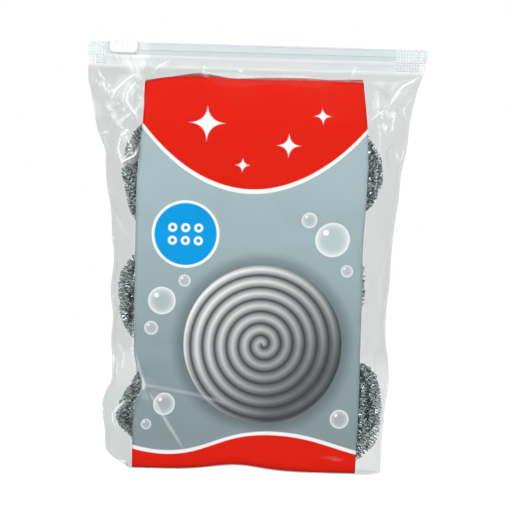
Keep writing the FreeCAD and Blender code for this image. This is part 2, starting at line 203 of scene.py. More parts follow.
def grid_faces(rows, columns):
    """The quads of a grid of points, row by row."""
    first = (np.arange(rows - 1)[:, None] * columns + np.arange(columns - 1)[None, :]).ravel()
    return np.stack([first, first + 1, first + columns + 1, first + columns], axis=1)


def sheet_uv(made, rows, columns):
    """A map that lies over a grid of points: across from 0 to 1, along from 0 to 1."""
    across = np.tile(np.linspace(0, 1, columns), rows)
    along = np.repeat(np.linspace(0, 1, rows), columns)
    layer = made.data.uv_layers.new(name="sheet")
    corner = np.zeros(len(made.data.loops), np.int32)
    made.data.loops.foreach_get("vertex_index", corner)
    layer.data.foreach_set("uv", np.stack([across[corner], along[corner]], axis=1).ravel())


def point_value(made, name, values):
    """Stores one number for each point of a piece, for its finish."""
    layer = made.data.attributes.new(name, "FLOAT", "POINT")
    layer.data.foreach_set("value", np.ascontiguousarray(values, np.float32).ravel())


def apply_modifiers(made):
    """Turns a piece with modifiers into the plain mesh that they make."""
    graph = bpy.context.evaluated_depsgraph_get()
    before = made.data
    made.data = bpy.data.meshes.new_from_object(made.evaluated_get(graph))
    made.modifiers.clear()
    bpy.data.meshes.remove(before)


def thicken(made, thickness, inner_slot=0):
    """Gives a sheet its thickness, inwards from its outer face."""
    solid = made.modifiers.new("thickness", "SOLIDIFY")
    solid.thickness = thickness
    solid.offset = -1
    solid.material_offset = inner_slot
    apply_modifiers(made)


def merged_copy(node):
    """A copy of a node's mesh with its loose triangles joined."""
    mesh = NODES[node].data.copy()
    shape = bmesh.new()
    shape.from_mesh(mesh)
    bmesh.ops.remove_doubles(shape, verts=shape.verts, dist=0.001 * MM)
    shape.to_mesh(mesh)
    shape.free()
    return mesh


def dress(made, body, slot, *nodes):
    """Ties a finished piece to its body and hides the nodes that it stands for; its slot is not used."""
    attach(made, body)
    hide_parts(*nodes)


def ramp(value, low, high):
    """A smooth rise from 0 at low to 1 at high."""
    share = np.clip((value - low) / (high - low), 0, 1)
    return share * share * (3 - 2 * share)


def hill(value, middle, reach):
    """A smooth hill of height 1 at its middle."""
    return np.exp(-(((value - middle) / reach) ** 2))


def waves(value, rng, count, shortest, longest):
    """A smooth random line of about unit height, as a sum of sines of random length and phase."""
    lengths = np.exp(rng.uniform(math.log(shortest), math.log(longest), count))
    phases = rng.uniform(0, FULL_TURN, count)
    total = sum(np.sin(FULL_TURN * value / length + phase) for length, phase in zip(lengths, phases))
    return total * math.sqrt(2 / count)


def smooth_line(points, at, spread, samples=9):
    """A line through a few points, rounded over a spread."""
    places, values = np.array(points).T
    offsets = np.linspace(-spread, spread, samples)
    return np.mean([np.interp(at + offset, places, values) for offset in offsets], axis=0)


# Node trees


def feed(tree, socket, value):
    """Links an input to a field, a node's first output or a socket, or else sets it to a value."""
    if isinstance(value, Field):
        value = value.socket
    elif isinstance(value, bpy.types.Node):
        value = value.outputs[0]
    if isinstance(value, bpy.types.NodeSocket):
        tree.links.new(value, socket)
    else:
        socket.default_value = (*value, 1.0) if socket.type == "RGBA" else value


def add(tree, kind, inputs=None, **properties):
    """A new node with its properties set and its inputs fed."""
    made = tree.nodes.new(kind)
    for name, value in properties.items():
        setattr(made, name, value)
    for key, value in (inputs or {}).items():
        feed(tree, made.inputs[key], value)
    return made


def geometry_tree(name, inputs):
    """A new geometry tree with named inputs: the tree, its inputs by name and its output socket."""
    tree = bpy.data.node_groups.new(name, "GeometryNodeTree")
    for label, kind in {"Geometry": "Geometry", **inputs}.items():
        tree.interface.new_socket(label, in_out="INPUT", socket_type=f"NodeSocket{kind}")
    tree.interface.new_socket("Geometry", in_out="OUTPUT", socket_type="NodeSocketGeometry")
    sockets = tree.nodes.new("NodeGroupInput").outputs
    given = {label: Field(tree, sockets[label]) for label in ("Geometry", *inputs)}
    return tree, given, tree.nodes.new("NodeGroupOutput").inputs[0]


def finish_tree(tree, shape, finish, result):
    """Ends a geometry tree: real geometry with its material goes to the result."""
    real = add(tree, "GeometryNodeRealizeInstances", {"Geometry": shape})
    feed(tree, result, add(tree, "GeometryNodeSetMaterial", {"Geometry": real, "Material": finish}))
    return tree


def grown(name, mesh, tree, values):
    """The object whose plain mesh a geometry tree makes out of a mesh, with the tree's inputs set by name."""
    made = placed(name, mesh)
    modifier = made.modifiers.new(tree.name, "NODES")
    modifier.node_group = tree
    for item in tree.interface.items_tree:
        if item.in_out == "INPUT" and item.name in values:
            modifier[item.identifier] = values[item.name]
    apply_modifiers(made)
    return made


class Field:
    """A value that varies over a surface or along a path, worked out by Math nodes of one tree."""

    def __init__(self, tree, socket):
        self.tree = tree
        self.socket = socket

    def calc(self, operation, second=0.0):
        made = add(self.tree, "ShaderNodeMath", {0: self, 1: second}, operation=operation)
        return Field(self.tree, made.outputs[0])

    __add__ = partialmethod(calc, "ADD")
    __sub__ = partialmethod(calc, "SUBTRACT")
    __mul__ = partialmethod(calc, "MULTIPLY")
    __truediv__ = partialmethod(calc, "DIVIDE")
    __pow__ = partialmethod(calc, "POWER")
    abs = partialmethod(calc, "ABSOLUTE")
    sin = partialmethod(calc, "SINE")
    cos = partialmethod(calc, "COSINE")
    fract = partialmethod(calc, "FRACT")
    angle = partialmethod(calc, "ARCTAN2")
    most = partialmethod(calc, "MAXIMUM")

    def over(self, edge, blur, low=0.0, high=1.0):
        """1 where the number is over the edge, 0 where it is under, with a soft step."""
        values = {"Value": self, "From Min": edge - blur, "From Max": edge + blur}
        values |= {"To Min": low, "To Max": high}
        made = add(self.tree, "ShaderNodeMapRange", values, interpolation_type="SMOOTHSTEP")
        return Field(self.tree, made.outputs[0])

    def under(self, edge, blur):
        """0 where the number is over the edge, 1 where it is under, with a soft step."""
        return self.over(edge, blur, 1.0, 0.0)


def material(name):
    """A new material with nothing but its output: the material, its tree and the output's surface socket."""
    made = bpy.data.materials.new(name)
    made.use_nodes = True
    tree = made.node_tree
    tree.nodes.clear()
    return made, tree, tree.nodes.new("ShaderNodeOutputMaterial").inputs["Surface"]


def shaded(colour, factor):
    """A colour made darker or lighter."""
    return [min(1.0, part * factor) for part in colour]


def mixed(tree, share, under, over, **more):
    """The colour over laid on the colour under, by a share."""
    return add(tree, "ShaderNodeMix", {0: share, 6: under, 7: over}, data_type="RGBA", **more).outputs[2]


def shader_mix(tree, share, under, over):
    """The surface over laid on the surface under, by a share."""
    return add(tree, "ShaderNodeMixShader", {0: share, 1: under, 2: over})


def principled(tree, colour, roughness, more):
    """A surface of a colour and a blur, with more inputs by name."""
    return add(tree, "ShaderNodeBsdfPrincipled", {"Base Color": colour, "Roughness": roughness, **more})


def noise(tree, place, scale, detail, roughness=0.5):
    """Soft random blotches."""
    values = {"Vector": place, "Scale": scale, "Detail": detail, "Roughness": roughness}
    return add(tree, "ShaderNodeTexNoise", values)


def bump(tree, height, strength, distance):
    """Normals that show a fine relief."""
    return add(tree, "ShaderNodeBump", {"Height": height, "Strength": strength, "Distance": distance})


def between(tree, share, low, high):
    """A number from low to high, by a share."""
    return add(tree, "ShaderNodeMapRange", {"Value": share, "To Min": low, "To Max": high})


def stored(tree, name):
    """A number that the points of a piece carry."""
    return Field(tree, add(tree, "ShaderNodeAttribute", attribute_name=name).outputs["Fac"])


def place_on_piece(tree):
    """The place of each point of a piece."""
    return add(tree, "ShaderNodeTexCoord").outputs["Object"]


# Materials


# The unevenness of each finish: the least and the greatest share of its blur, and its darkest tone
STEEL_BLUR, FILM_BLUR, STEEL_SHADE, FLOW_SHADE, FIBRE_SHADE = (0.6, 1.5), (0.7, 1.5), 0.72, 0.93, 0.9


def uneven_blur(tree, share, roughness, limits):
    """A blur that differs from place to place."""
    return between(tree, share, *[roughness * limit for limit in limits])


def steel_ribbon(look):
    """Bright curled stainless steel, a little uneven in tone and blur."""
    made, tree, surface = material("curled_steel")
    place = place_on_piece(tree)
    blotches = noise(tree, place, scale=900.0, detail=3.0)
    blur = uneven_blur(tree, blotches, look.roughness, STEEL_BLUR)
    tone = noise(tree, place, scale=160.0, detail=2.0)
    colour = mixed(tree, tone, shaded(look.steel, STEEL_SHADE), look.steel)
    feed(tree, surface, principled(tree, colour, blur, {"Metallic": 1.0}))
    return made


TAUT_TINT, MILK = (0.985, 0.987, 0.987), (0.9, 0.92, 0.92)
# How sharply the film's mirroring grows towards grazing sight, how far, and taut film's share of the gloss
RIM_POWER, RIM_GLOSS, TAUT_GLOSS = 4.0, 0.35, 0.07


def clear_film(look):
    """Thin clear film: taut film lets nearly all light through, slack film less, its grey partly painted
    shade for the dark studio that it would mirror, and creases are milky, partly whitening and partly a
    painted highlight.
    """
    made, tree, surface = material("clear_film")
    place = place_on_piece(tree)
    slack, crease = stored(tree, "slack"), stored(tree, "crease")
    ripples = noise(tree, place, scale=170.0, detail=4.0, roughness=0.55)
    relief = bump(tree, ripples, strength=0.12, distance=0.4 * MM)
    smudges = noise(tree, place, scale=45.0, detail=3.0)
    blur = uneven_blur(tree, smudges, look.roughness, FILM_BLUR)
    # Slack film takes on the painted shade of its tint
    tint_and_shade = mixed(tree, slack, TAUT_TINT, look.tint_and_shade, clamp_factor=False)
    through = add(tree, "ShaderNodeBsdfTransparent", {"Color": tint_and_shade})
    milk = principled(tree, MILK, roughness=0.5, more={"Specular IOR Level": 0.0})
    # Crease milk is partly whitening and partly a painted highlight
    hazy = shader_mix(tree, crease * look.whitening_and_highlight + look.haze, through, milk)
    mirror = add(tree, "ShaderNodeBsdfGlossy", {"Roughness": blur, "Normal": relief})
    facing = add(tree, "ShaderNodeLayerWeight", {"Blend": 0.5, "Normal": relief}).outputs["Facing"]
    gloss = (slack * (1 - TAUT_GLOSS) + TAUT_GLOSS) * look.gloss
    share = Field(tree, facing) ** RIM_POWER * RIM_GLOSS + gloss
    feed(tree, surface, shader_mix(tree, share, hazy, mirror))
    return made


# Where the slider rests, its wear has whitened the zip: up to which place along X, and how softly
WORN_PLACE, WORN_BLUR = -65.0 * MM, 5.0 * MM
WORN_WHITE, ZIP_TINT = (0.95, 0.95, 0.95), (0.95, 0.975, 0.98)
STREAKS_PER_METRE = (30.0, 900.0, 900.0)


def milky_plastic(name, colour, clear, roughness, streaks, worn):
    """Translucent plastic with flow streaks along X, whitened near the slider's rest; dots are white."""
    made, tree, surface = material(name)
    place = place_on_piece(tree)
    drawn = add(tree, "ShaderNodeMapping", {"Vector": place, "Scale": STREAKS_PER_METRE})
    flow = noise(tree, drawn, scale=1.0, detail=3.0)
    tone = mixed(tree, flow, shaded(colour, FLOW_SHADE), colour)
    along = Field(tree, add(tree, "ShaderNodeSeparateXYZ", {"Vector": place}).outputs["X"])
    tone = mixed(tree, along.under(WORN_PLACE, WORN_BLUR) * worn, tone, WORN_WHITE)
    tone = mixed(tree, stored(tree, "dot"), tone, WORN_WHITE)
    relief = bump(tree, flow, streaks, distance=0.15 * MM)
    body = principled(tree, tone, roughness, {"Normal": relief})
    through = add(tree, "ShaderNodeBsdfTransparent", {"Color": ZIP_TINT})
    feed(tree, surface, shader_mix(tree, clear, body, through))
    return made


# Places of the print's motifs: millimetres across from the sheet's middle and up from its fold
RED_TOP, RED_BOW, TOP_EDGING = 166.0, 0.0085, 2.6
RED_FOOT, FOOT_WAVE, FOOT_LENGTH, FOOT_PHASE, FOOT_EDGING = 17.0, 6.0, 21.0, 0.6, 2.2
# Middle and reach of each round motif
COIL, BADGE = (9.0, 76.0, 46.0), (-37.0, 139.0, 18.0)
COIL_PITCH, COIL_SHADOW, BADGE_EDGING = 7.0, 5.0, 1.6
BADGE_DOTS = [(column * 7.5, row * 7.5, 2.6) for column in (-1, 0, 1) for row in (-0.5, 0.5)]
BUBBLES = [
    (-50, 100, 8), (-37, 112, 3.5), (-56, 84, 4), (48, 138, 10), (34, 149, 4.5), (57, 120, 3.5),
    (-48, 40, 6.5), (-58, 28, 3), (55, 34, 5.5),
]
GLINTS = [(-28.0, 204.0, 12.0), (20.0, 192.0, 8.0), (40.0, 210.0, 6.0), (-6.0, 180.0, 5.0)]
EDGE_BLUR, GLINT_BLUR = 0.22, 0.88
# How the ground lightens upwards: middle and half of the rise, then its tones below and above
GROUND_RISE, GROUND_TONES = (110.0, 90.0), (0.72, 1.1)
# The coil: how wide its light spreads, in radii, the least light on it, and the depth of its shadow
COIL_LIGHT, LEAST_LIGHT, SHADOW_SHARE = 2.8, 0.12, 0.5
# A bubble: how sharply its rim brightens and how far, its fill, and the place and size of its spark in radii
BUBBLE_POWER, BUBBLE_RIM, BUBBLE_FILL, SPARK_PLACE, SPARK_SIZE = 4.0, 0.75, 0.2, 0.4, 0.17
# Hole in a dot of the badge, in radii, and the share of the red that shows on the sheet's other side
DOT_HOLE, SHOW_THROUGH = 0.45, 0.85


def places_on_sheet(tree, width, front, fold):
    """Millimetres across from the sheet's middle and up from its fold."""
    flat = add(tree, "ShaderNodeUVMap", uv_map="sheet")
    place = add(tree, "ShaderNodeSeparateXYZ", {"Vector": flat}).outputs
    across = (Field(tree, place["X"]) - 0.5) * (width / MM)
    along = Field(tree, place["Y"]) * ((2 * front + fold) / MM)
    return across, (along * -1.0 + front / MM).most(along - (front + fold) / MM)


def print_face(look, width, front, fold):
    """The printed side of the sheet: arcs, a coil, bubbles and glints, the same on both panels."""
    made, tree, surface = material("printed_face")
    across, up = places_on_sheet(tree, width, front, fold)
    colour = mixed(tree, up.over(*GROUND_RISE), *[shaded(look.ground, tone) for tone in GROUND_TONES])

    def lay(share, over):
        nonlocal colour
        colour = mixed(tree, share, colour, over)

    def far_from(x, z):
        return ((across - x) ** 2.0 + (up - z) ** 2.0) ** 0.5

    # The coil: one spiral line, lit from the upper left
    x, z, reach = COIL
    far = far_from(x, z)
    turn = (up - z).angle(across - x) / FULL_TURN
    groove = ((far / COIL_PITCH - turn).fract() - 0.5).abs() * 2.0
    light_side = ((up - z) - (across - x)) / (COIL_LIGHT * reach) + 0.5
    steel = mixed(tree, groove * light_side.most(LEAST_LIGHT), look.dark, look.white)
    lay(far.under(reach + COIL_SHADOW, COIL_SHADOW) * SHADOW_SHARE, look.dark)
    lay(far.under(reach, EDGE_BLUR), steel)
    # Soap bubbles: a faint fill, a bright rim and a spark
    for x, z, reach in BUBBLES:
        far = far_from(x, z)
        rim = (far / reach) ** BUBBLE_POWER * BUBBLE_RIM + BUBBLE_FILL
        lay(far.under(reach, EDGE_BLUR) * rim, look.white)
        spark = far_from(x - SPARK_PLACE * reach, z + SPARK_PLACE * reach)
        lay(spark.under(SPARK_SIZE * reach, EDGE_BLUR), look.white)
    # Red arc at the top and red wave at the foot, both edged in white
    top = up - across * across * RED_BOW
    lay(top.over(RED_TOP - TOP_EDGING, EDGE_BLUR), look.white)
    foot = up - (across / FOOT_LENGTH + FOOT_PHASE).sin() * FOOT_WAVE
    lay(foot.under(RED_FOOT + FOOT_EDGING, EDGE_BLUR), look.white)
    lay(top.over(RED_TOP, EDGE_BLUR).most(foot.under(RED_FOOT, EDGE_BLUR)), look.red)
    # Glints on the red: four-pointed stars
    for x, z, reach in GLINTS:
        star = ((across - x).abs() ** 0.5 + (up - z).abs() ** 0.5) ** 2.0
        lay(star.under(reach, GLINT_BLUR), look.white)
    # Round badge with six dots, one for each scourer
    x, z, reach = BADGE
    far = far_from(x, z)
    lay(far.under(reach + BADGE_EDGING, EDGE_BLUR), look.white)
    lay(far.under(reach, EDGE_BLUR), look.blue)
    for dx, dz, dot in BADGE_DOTS:
        far = far_from(x + dx, z + dz)
        lay(far.under(dot, EDGE_BLUR) * far.over(dot * DOT_HOLE, EDGE_BLUR), look.white)

    screen = noise(tree, place_on_piece(tree), scale=1400.0, detail=2.0)
    relief = bump(tree, screen, strength=0.06, distance=0.1 * MM)
    more = {"Specular IOR Level": 0.03, "Normal": relief}
    feed(tree, surface, principled(tree, colour, roughness=0.45, more=more))
    return made


def plain_sheet(look, width, front, fold):
    """The unprinted side of the sheet, with faint fibres; the red of the print shows through at its top."""
    made, tree, surface = material("sheet_back")
    fibres = noise(tree, place_on_piece(tree), scale=700.0, detail=5.0, roughness=0.7)
    colour = mixed(tree, fibres, shaded(look.white, FIBRE_SHADE), look.white)
    across, up = places_on_sheet(tree, width, front, fold)
    top = up - across * across * RED_BOW
    colour = mixed(tree, top.over(RED_TOP, EDGE_BLUR) * SHOW_THROUGH, colour, look.red)
    relief = bump(tree, fibres, strength=0.2, distance=0.1 * MM)
    feed(tree, surface, principled(tree, colour, roughness=0.7, more={"Normal": relief}))
    return made


# Scourers


# Each layer of a winding: its share of the scourer's size and how far apart its turns lie
WINDING_LAYERS = ((1.0, 1.0), (0.84, 1.5))
# Seen from the front: how square each scourer's upper and lower half are, where 2 is round, and its turn
OUTLINES = {
    "scourer_top_left": (2.0, 4.6, math.radians(12)),
    "scourer_middle_left": (1.8, 3.6, 0.0),
    "scourer_bottom_left": (1.3, 1.5, math.radians(12)),
    "scourer_top_right": (1.85, 2.0, 0.0),
    "scourer_middle_right": (2.6, 1.8, math.radians(8)),
    "scourer_bottom_right": (3.0, 2.6, 0.0),
}
SHELL_POWER = 2.7
TURN_POINTS = 90
EYE_ANGLE, SMALL_ANGLE = 0.16, 0.01
TILT = math.radians(13.0)
LUMP = 0.015
WANDER, SHAKE, DEPTH_SHAKE = 1.2 * MM, 0.5 * MM, 0.7 * MM
# Waves along the strand: how many are summed, the shortest and the longest, in radians of its turns
TILT_WAVES, WANDER_WAVES, LUMP_WAVES = (7, 5.0, 60.0), (9, 1.7, 9.0), (3, FULL_TURN / 3, FULL_TURN)
SHAKE_WAVES, DEPTH_SHAKE_WAVES = (9, 0.25, 0.8), (9, 0.25, 0.9)
# Left free between the curls and the sheet on both sides, and the share of the curls' unevenness outside them
SHEET_ROOM, CURL_ROOM = 0.8 * MM, 0.5
# Noise that makes the curls uneven: its scale and detail, for their radius, place along the path and lean
RADIUS_NOISE, PLACE_NOISE, LEAN_NOISE = (330.0, 1.0), (190.0, 1.0), (520.0, 0.0)
PLACE_SEED = 7.5


def shell_point(angle, radius, depth):
    """Distance from the axis and place along it, at an angle round the section of a rounded disc."""
    power = 2 / SHELL_POWER
    sine, cosine = math.sin(angle), math.cos(angle)
    return radius * abs(sine) ** power, -depth * math.copysign(abs(cosine) ** power, cosine)


def strand_path(radius, depth, outline, spacing, rng):
    """The middle line of one strand, wound to and fro over a rounded disc in ever smaller layers."""
    rows = []
    heading, angle = 1, EYE_ANGLE
    now = rng.uniform(0, FULL_TURN)
    for share, apart in WINDING_LAYERS:
        while EYE_ANGLE <= angle <= math.pi - EYE_ANGLE:
            here = shell_point(angle, radius * share, depth * share)
            nearby = shell_point(angle + SMALL_ANGLE, radius * share, depth * share)
            rows.append((*here, now))
            per_angle = math.dist(here, nearby) / SMALL_ANGLE
            angle += heading * spacing * apart / TURN_POINTS / per_angle
            now += FULL_TURN / TURN_POINTS
        heading = -heading
        angle = min(max(angle, EYE_ANGLE), math.pi - EYE_ANGLE)
    away, deep, turn = np.array(rows).T
    # Turns that lean and wander cross each other
    for phase in (0.0, math.pi / 2):
        lean = TILT * waves(turn, rng, *TILT_WAVES)
        deep = deep + away * np.sin(turn + phase) * lean
    away = away + WANDER * waves(turn, rng, *WANDER_WAVES) + SHAKE * waves(turn, rng, *SHAKE_WAVES)
    deep = deep + DEPTH_SHAKE * waves(turn, rng, *DEPTH_SHAKE_WAVES)
    outside = (np.abs(away) / radius) ** SHELL_POWER + (np.abs(deep) / depth) ** SHELL_POWER
    inward = np.minimum(1.0, outside ** (-1 / SHELL_POWER))
    lump = 1 - LUMP * (0.5 + 0.5 * waves(turn % FULL_TURN, rng, *LUMP_WAVES))
    away, deep = away * inward * np.clip(lump, 1 - 2 * LUMP, 1), deep * inward
    upper, lower, turned = outline
    around = turn - turned
    power = np.where(np.sin(around) > 0, upper, lower)
    away = away * (np.abs(np.cos(around)) ** power + np.abs(np.sin(around)) ** power) ** (-1 / power)
    return np.stack([away * np.cos(turn), deep, away * np.sin(turn)], axis=1)


def curled_ribbon_tree():
    """Curls a flat ribbon round a path, with curls of uneven size."""
    sizes = ("Curl Radius", "Ribbon Width", "Ribbon Thickness", "Unevenness", "Bunching", "Twist")
    counts = ("Curls", "Steps per Curl", "Seed")
    inputs = {**dict.fromkeys(sizes, "Float"), **dict.fromkeys(counts, "Int"), "Material": "Material"}
    tree, given, result = geometry_tree("curled_ribbon", inputs)
    kinds = ("Position", "Tangent", "Normal", "Index")
    place, tangent, normal, index = [
        Field(tree, add(tree, f"GeometryNodeInput{kind}").outputs[0]) for kind in kinds
    ]

    def pair(operation, first, second):
        return add(tree, "ShaderNodeVectorMath", {0: first, 1: second}, operation=operation)

    def scaled(vector, factor):
        return add(tree, "ShaderNodeVectorMath", {0: vector, "Scale": factor}, operation="SCALE")

    def sway(reach, seed, scale, detail):
        values = {"Vector": place, "W": seed, "Scale": scale, "Detail": detail}
        swing = add(tree, "ShaderNodeTexNoise", values, noise_dimensions="4D").outputs[0]
        return (Field(tree, swing) - 0.5) * (reach * 4.0)

    line = add(tree, "GeometryNodeMeshToCurve", {"Mesh": given["Geometry"]})
    smooth = add(tree, "GeometryNodeCurveSplineType", {"Curve": line}, spline_type="CATMULL_ROM")
    count = given["Curls"] * given["Steps per Curl"]
    path = add(tree, "GeometryNodeResampleCurve", {"Curve": smooth, "Count": count})
    turn = index / given["Steps per Curl"] * FULL_TURN
    side = pair("CROSS_PRODUCT", tangent, normal)
    out = pair("ADD", scaled(normal, turn.cos()), scaled(side, turn.sin()))
    kept = add(tree, "GeometryNodeCaptureAttribute", {"Geometry": path}, domain="POINT")
    kept.capture_items.new("VECTOR", "Outwards")
    feed(tree, kept.inputs["Outwards"], out)
    outwards = kept.outputs["Outwards"]
    radius = given["Curl Radius"] * (sway(given["Unevenness"], given["Seed"], *RADIUS_NOISE) + 1.0)
    slide = sway(given["Bunching"], given["Seed"] + PLACE_SEED, *PLACE_NOISE)
    offset = pair("ADD", scaled(outwards, radius), scaled(tangent, slide))
    curled = add(tree, "GeometryNodeSetPosition", {"Geometry": kept, "Offset": offset})
    lean = sway(given["Twist"], given["Seed"], *LEAN_NOISE)
    values = {"Vector": outwards, "Axis": tangent, "Angle": lean}
    twisted = add(tree, "ShaderNodeVectorRotate", values, rotation_type="AXIS_ANGLE")
    facing = add(tree, "GeometryNodeSetCurveNormal", {"Curve": curled, "Normal": twisted}, mode="FREE")
    values = {"Width": given["Ribbon Thickness"], "Height": given["Ribbon Width"]}
    section = add(tree, "GeometryNodeCurvePrimitiveQuadrilateral", values)
    values = {"Curve": facing, "Profile Curve": section, "Fill Caps": True}
    ribbon = add(tree, "GeometryNodeCurveToMesh", values)
    faceted = add(tree, "GeometryNodeSetShadeSmooth", {"Geometry": ribbon, "Shade Smooth": False})
    return finish_tree(tree, faceted, given["Material"], result)


class SCOURERPACK_OT_scourers(bpy.types.Operator):
    """Winds the curled ribbon of each scourer"""

    bl_idname = "scourer_pack.scourers"
    bl_label = "Wind scourers"

    def execute(self, context):
        look = settings(context, "scourer")
        tree = curled_ribbon_tree()
        finish = steel_ribbon(look)
        for number, node in enumerate(SCOURERS):
            low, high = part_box(node)
            middle, half = (low + high) / 2, (high - low) / 2
            rng = np.random.default_rng(look.seed + number)
            room = look.curl_radius * (1 + CURL_ROOM * look.unevenness)
            radius, depth = half.x - room, half.y - room - SHEET_ROOM
            points = strand_path(radius, depth, OUTLINES[node], look.strand_spacing, rng)
            points = points + np.array(middle)
            mesh = bpy.data.meshes.new(f"{node}_path")
            mesh.from_pydata(points.tolist(), [(i, i + 1) for i in range(len(points) - 1)], [])
            length = np.linalg.norm(np.diff(points, axis=0), axis=1).sum()
            values = {
                "Curl Radius": look.curl_radius,
                "Curls": int(length / look.curl_pitch),
                "Steps per Curl": look.curl_steps,
                "Ribbon Width": look.ribbon_width,
                "Ribbon Thickness": look.ribbon_thickness,
                "Unevenness": look.unevenness,
                "Bunching": look.bunching,
                "Twist": look.twist,
                "Seed": look.seed + number,
                "Material": finish,
            }
            made = grown(f"curled_{node}", mesh, tree, values)
            dress(made, BODY_OF[node], "scourer_steel", node)
        return {"FINISHED"}


# Printed insert


SHEET_SEED = 3
SHEET_STEP = 2.0 * MM
# Radius of the bends at the foot, distance from the film, and how far the back stands over the front
INSERT_BEND, FILM_ROOM, BACK_RISE = 3.0 * MM, 0.3 * MM, 1.5 * MM
DOWN_POINTS, TURN_STEPS, RISE_POINTS = 90, 9, 4
# How far the foot of the pack bows up between the columns, where, its reach and its height
BOW, BOW_PLACE, BOW_REACH, BOW_TOP = 3.2 * MM, -6.0 * MM, 20.0 * MM, 45 * MM
CORNER_DROP, CORNER_REACH = 3.2 * MM, 9.0 * MM
# Where a fold of the film bends the sheet's left edge: the height, how far in and back, and its reach
BEND_HEIGHT, BEND_INWARD, BEND_BACK = 49.0 * MM, 5.0 * MM, 3.0 * MM
BEND_REACH_UP, BEND_REACH_ACROSS = 11.0 * MM, 10.0 * MM
# Heights over which the sheet starts to sag, and where a gap starts and ends, in radii of a scourer
SAG_RISE, GAP_EDGE = (4 * MM, 20 * MM), (0.78, 1.12)
# Waves of the sheet: height and slant, then how many are summed, the shortest and the longest
BUCKLE, BUCKLE_SLANT, BUCKLE_WAVES = 0.25 * MM, 0.3, (5, 30 * MM, 90 * MM)
TOP_WAVE, TOP_WAVES = 0.35 * MM, (3, 40 * MM, 110 * MM)
BACK_WAVE, BACK_WAVES = 0.4 * MM, (3, 26 * MM, 60 * MM)
EDGE_SPREAD = 8 * MM
# Height above the bottom and place of the sheet's left and right edges, in millimetres
INSERT_EDGES = [
    (0, -66.6, 63.6), (40, -67.2, 64.6), (100, -67.9, 64.8), (130, -68.3, 64.5), (150, -68.6, 65.5),
    (169, -68.6, 66), (183, -67.6, 66.2), (195, -66.4, 65.8), (205, -65.7, 65.2), (230, -66, 62.6),
]


def bowed_up(x, z):
    """How far the foot of the pack bows up between the two columns of scourers."""
    return BOW * hill(x, BOW_PLACE, BOW_REACH) * (1 - ramp(z, 0, BOW_TOP))


def corner_drop(x):
    """How far the sheet's top edge drops at its left corner."""
    return CORNER_DROP * hill(x, INSERT_LOW.x, CORNER_REACH)


def insert_profile():
    """Points down the front, under the scourers and up the back, and the lengths of front and fold."""
    half, back_top = INSERT_HIGH.y, INSERT_HIGH.z
    front_top = back_top - BACK_RISE
    start = INSERT_LOW.z + INSERT_BEND
    down = np.linspace(front_top, start, DOWN_POINTS)
    turn = np.linspace(0, math.pi / 2, TURN_STEPS)[1:]
    panel = np.stack([-(wall_depth(down) - FILM_ROOM), down], axis=1)
    bend = np.stack([-half + INSERT_BEND * (1 - np.cos(turn)), start - INSERT_BEND * np.sin(turn)], axis=1)
    front = np.concatenate([panel, bend])
    rise = np.linspace(front_top, back_top, RISE_POINTS)[1:]
    back = np.concatenate([front[::-1] * (-1, 1), np.stack([wall_depth(rise) - FILM_ROOM, rise], axis=1)])
    line = np.concatenate([front, back])
    run = np.concatenate([[0], np.cumsum(np.linalg.norm(np.diff(line, axis=0), axis=1))])
    at = np.linspace(0, run[-1], int(round(run[-1] / SHEET_STEP)) + 1)
    points = np.stack([np.interp(at, run, line[:, 0]), np.interp(at, run, line[:, 1])], axis=1)
    return points, run[len(front) - 1], run[len(front)] - run[len(front) - 1]


def insert_edges(z):
    """Places of the sheet's left and right edges at a height, and the share of the bend in its left edge."""
    heights, lefts, rights = np.array(INSERT_EDGES).T * MM
    left, right = [smooth_line(list(zip(heights, side)), z, EDGE_SPREAD) for side in (lefts, rights)]
    return left, right, hill(z, BEND_HEIGHT, BEND_REACH_UP)


def gap_between_scourers(x, z):
    """1 where no scourer lies behind a point of the sheet, 0 where one does."""
    nearest = np.full(np.broadcast(x, z).shape, FAR)
    for node in SCOURERS:
        low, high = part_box(node)
        middle, reach = (low + high) / 2, (high.x - low.x) / 2
        nearest = np.minimum(nearest, np.hypot(x - middle.x, z - middle.z) / reach)
    return ramp(nearest, *GAP_EDGE)


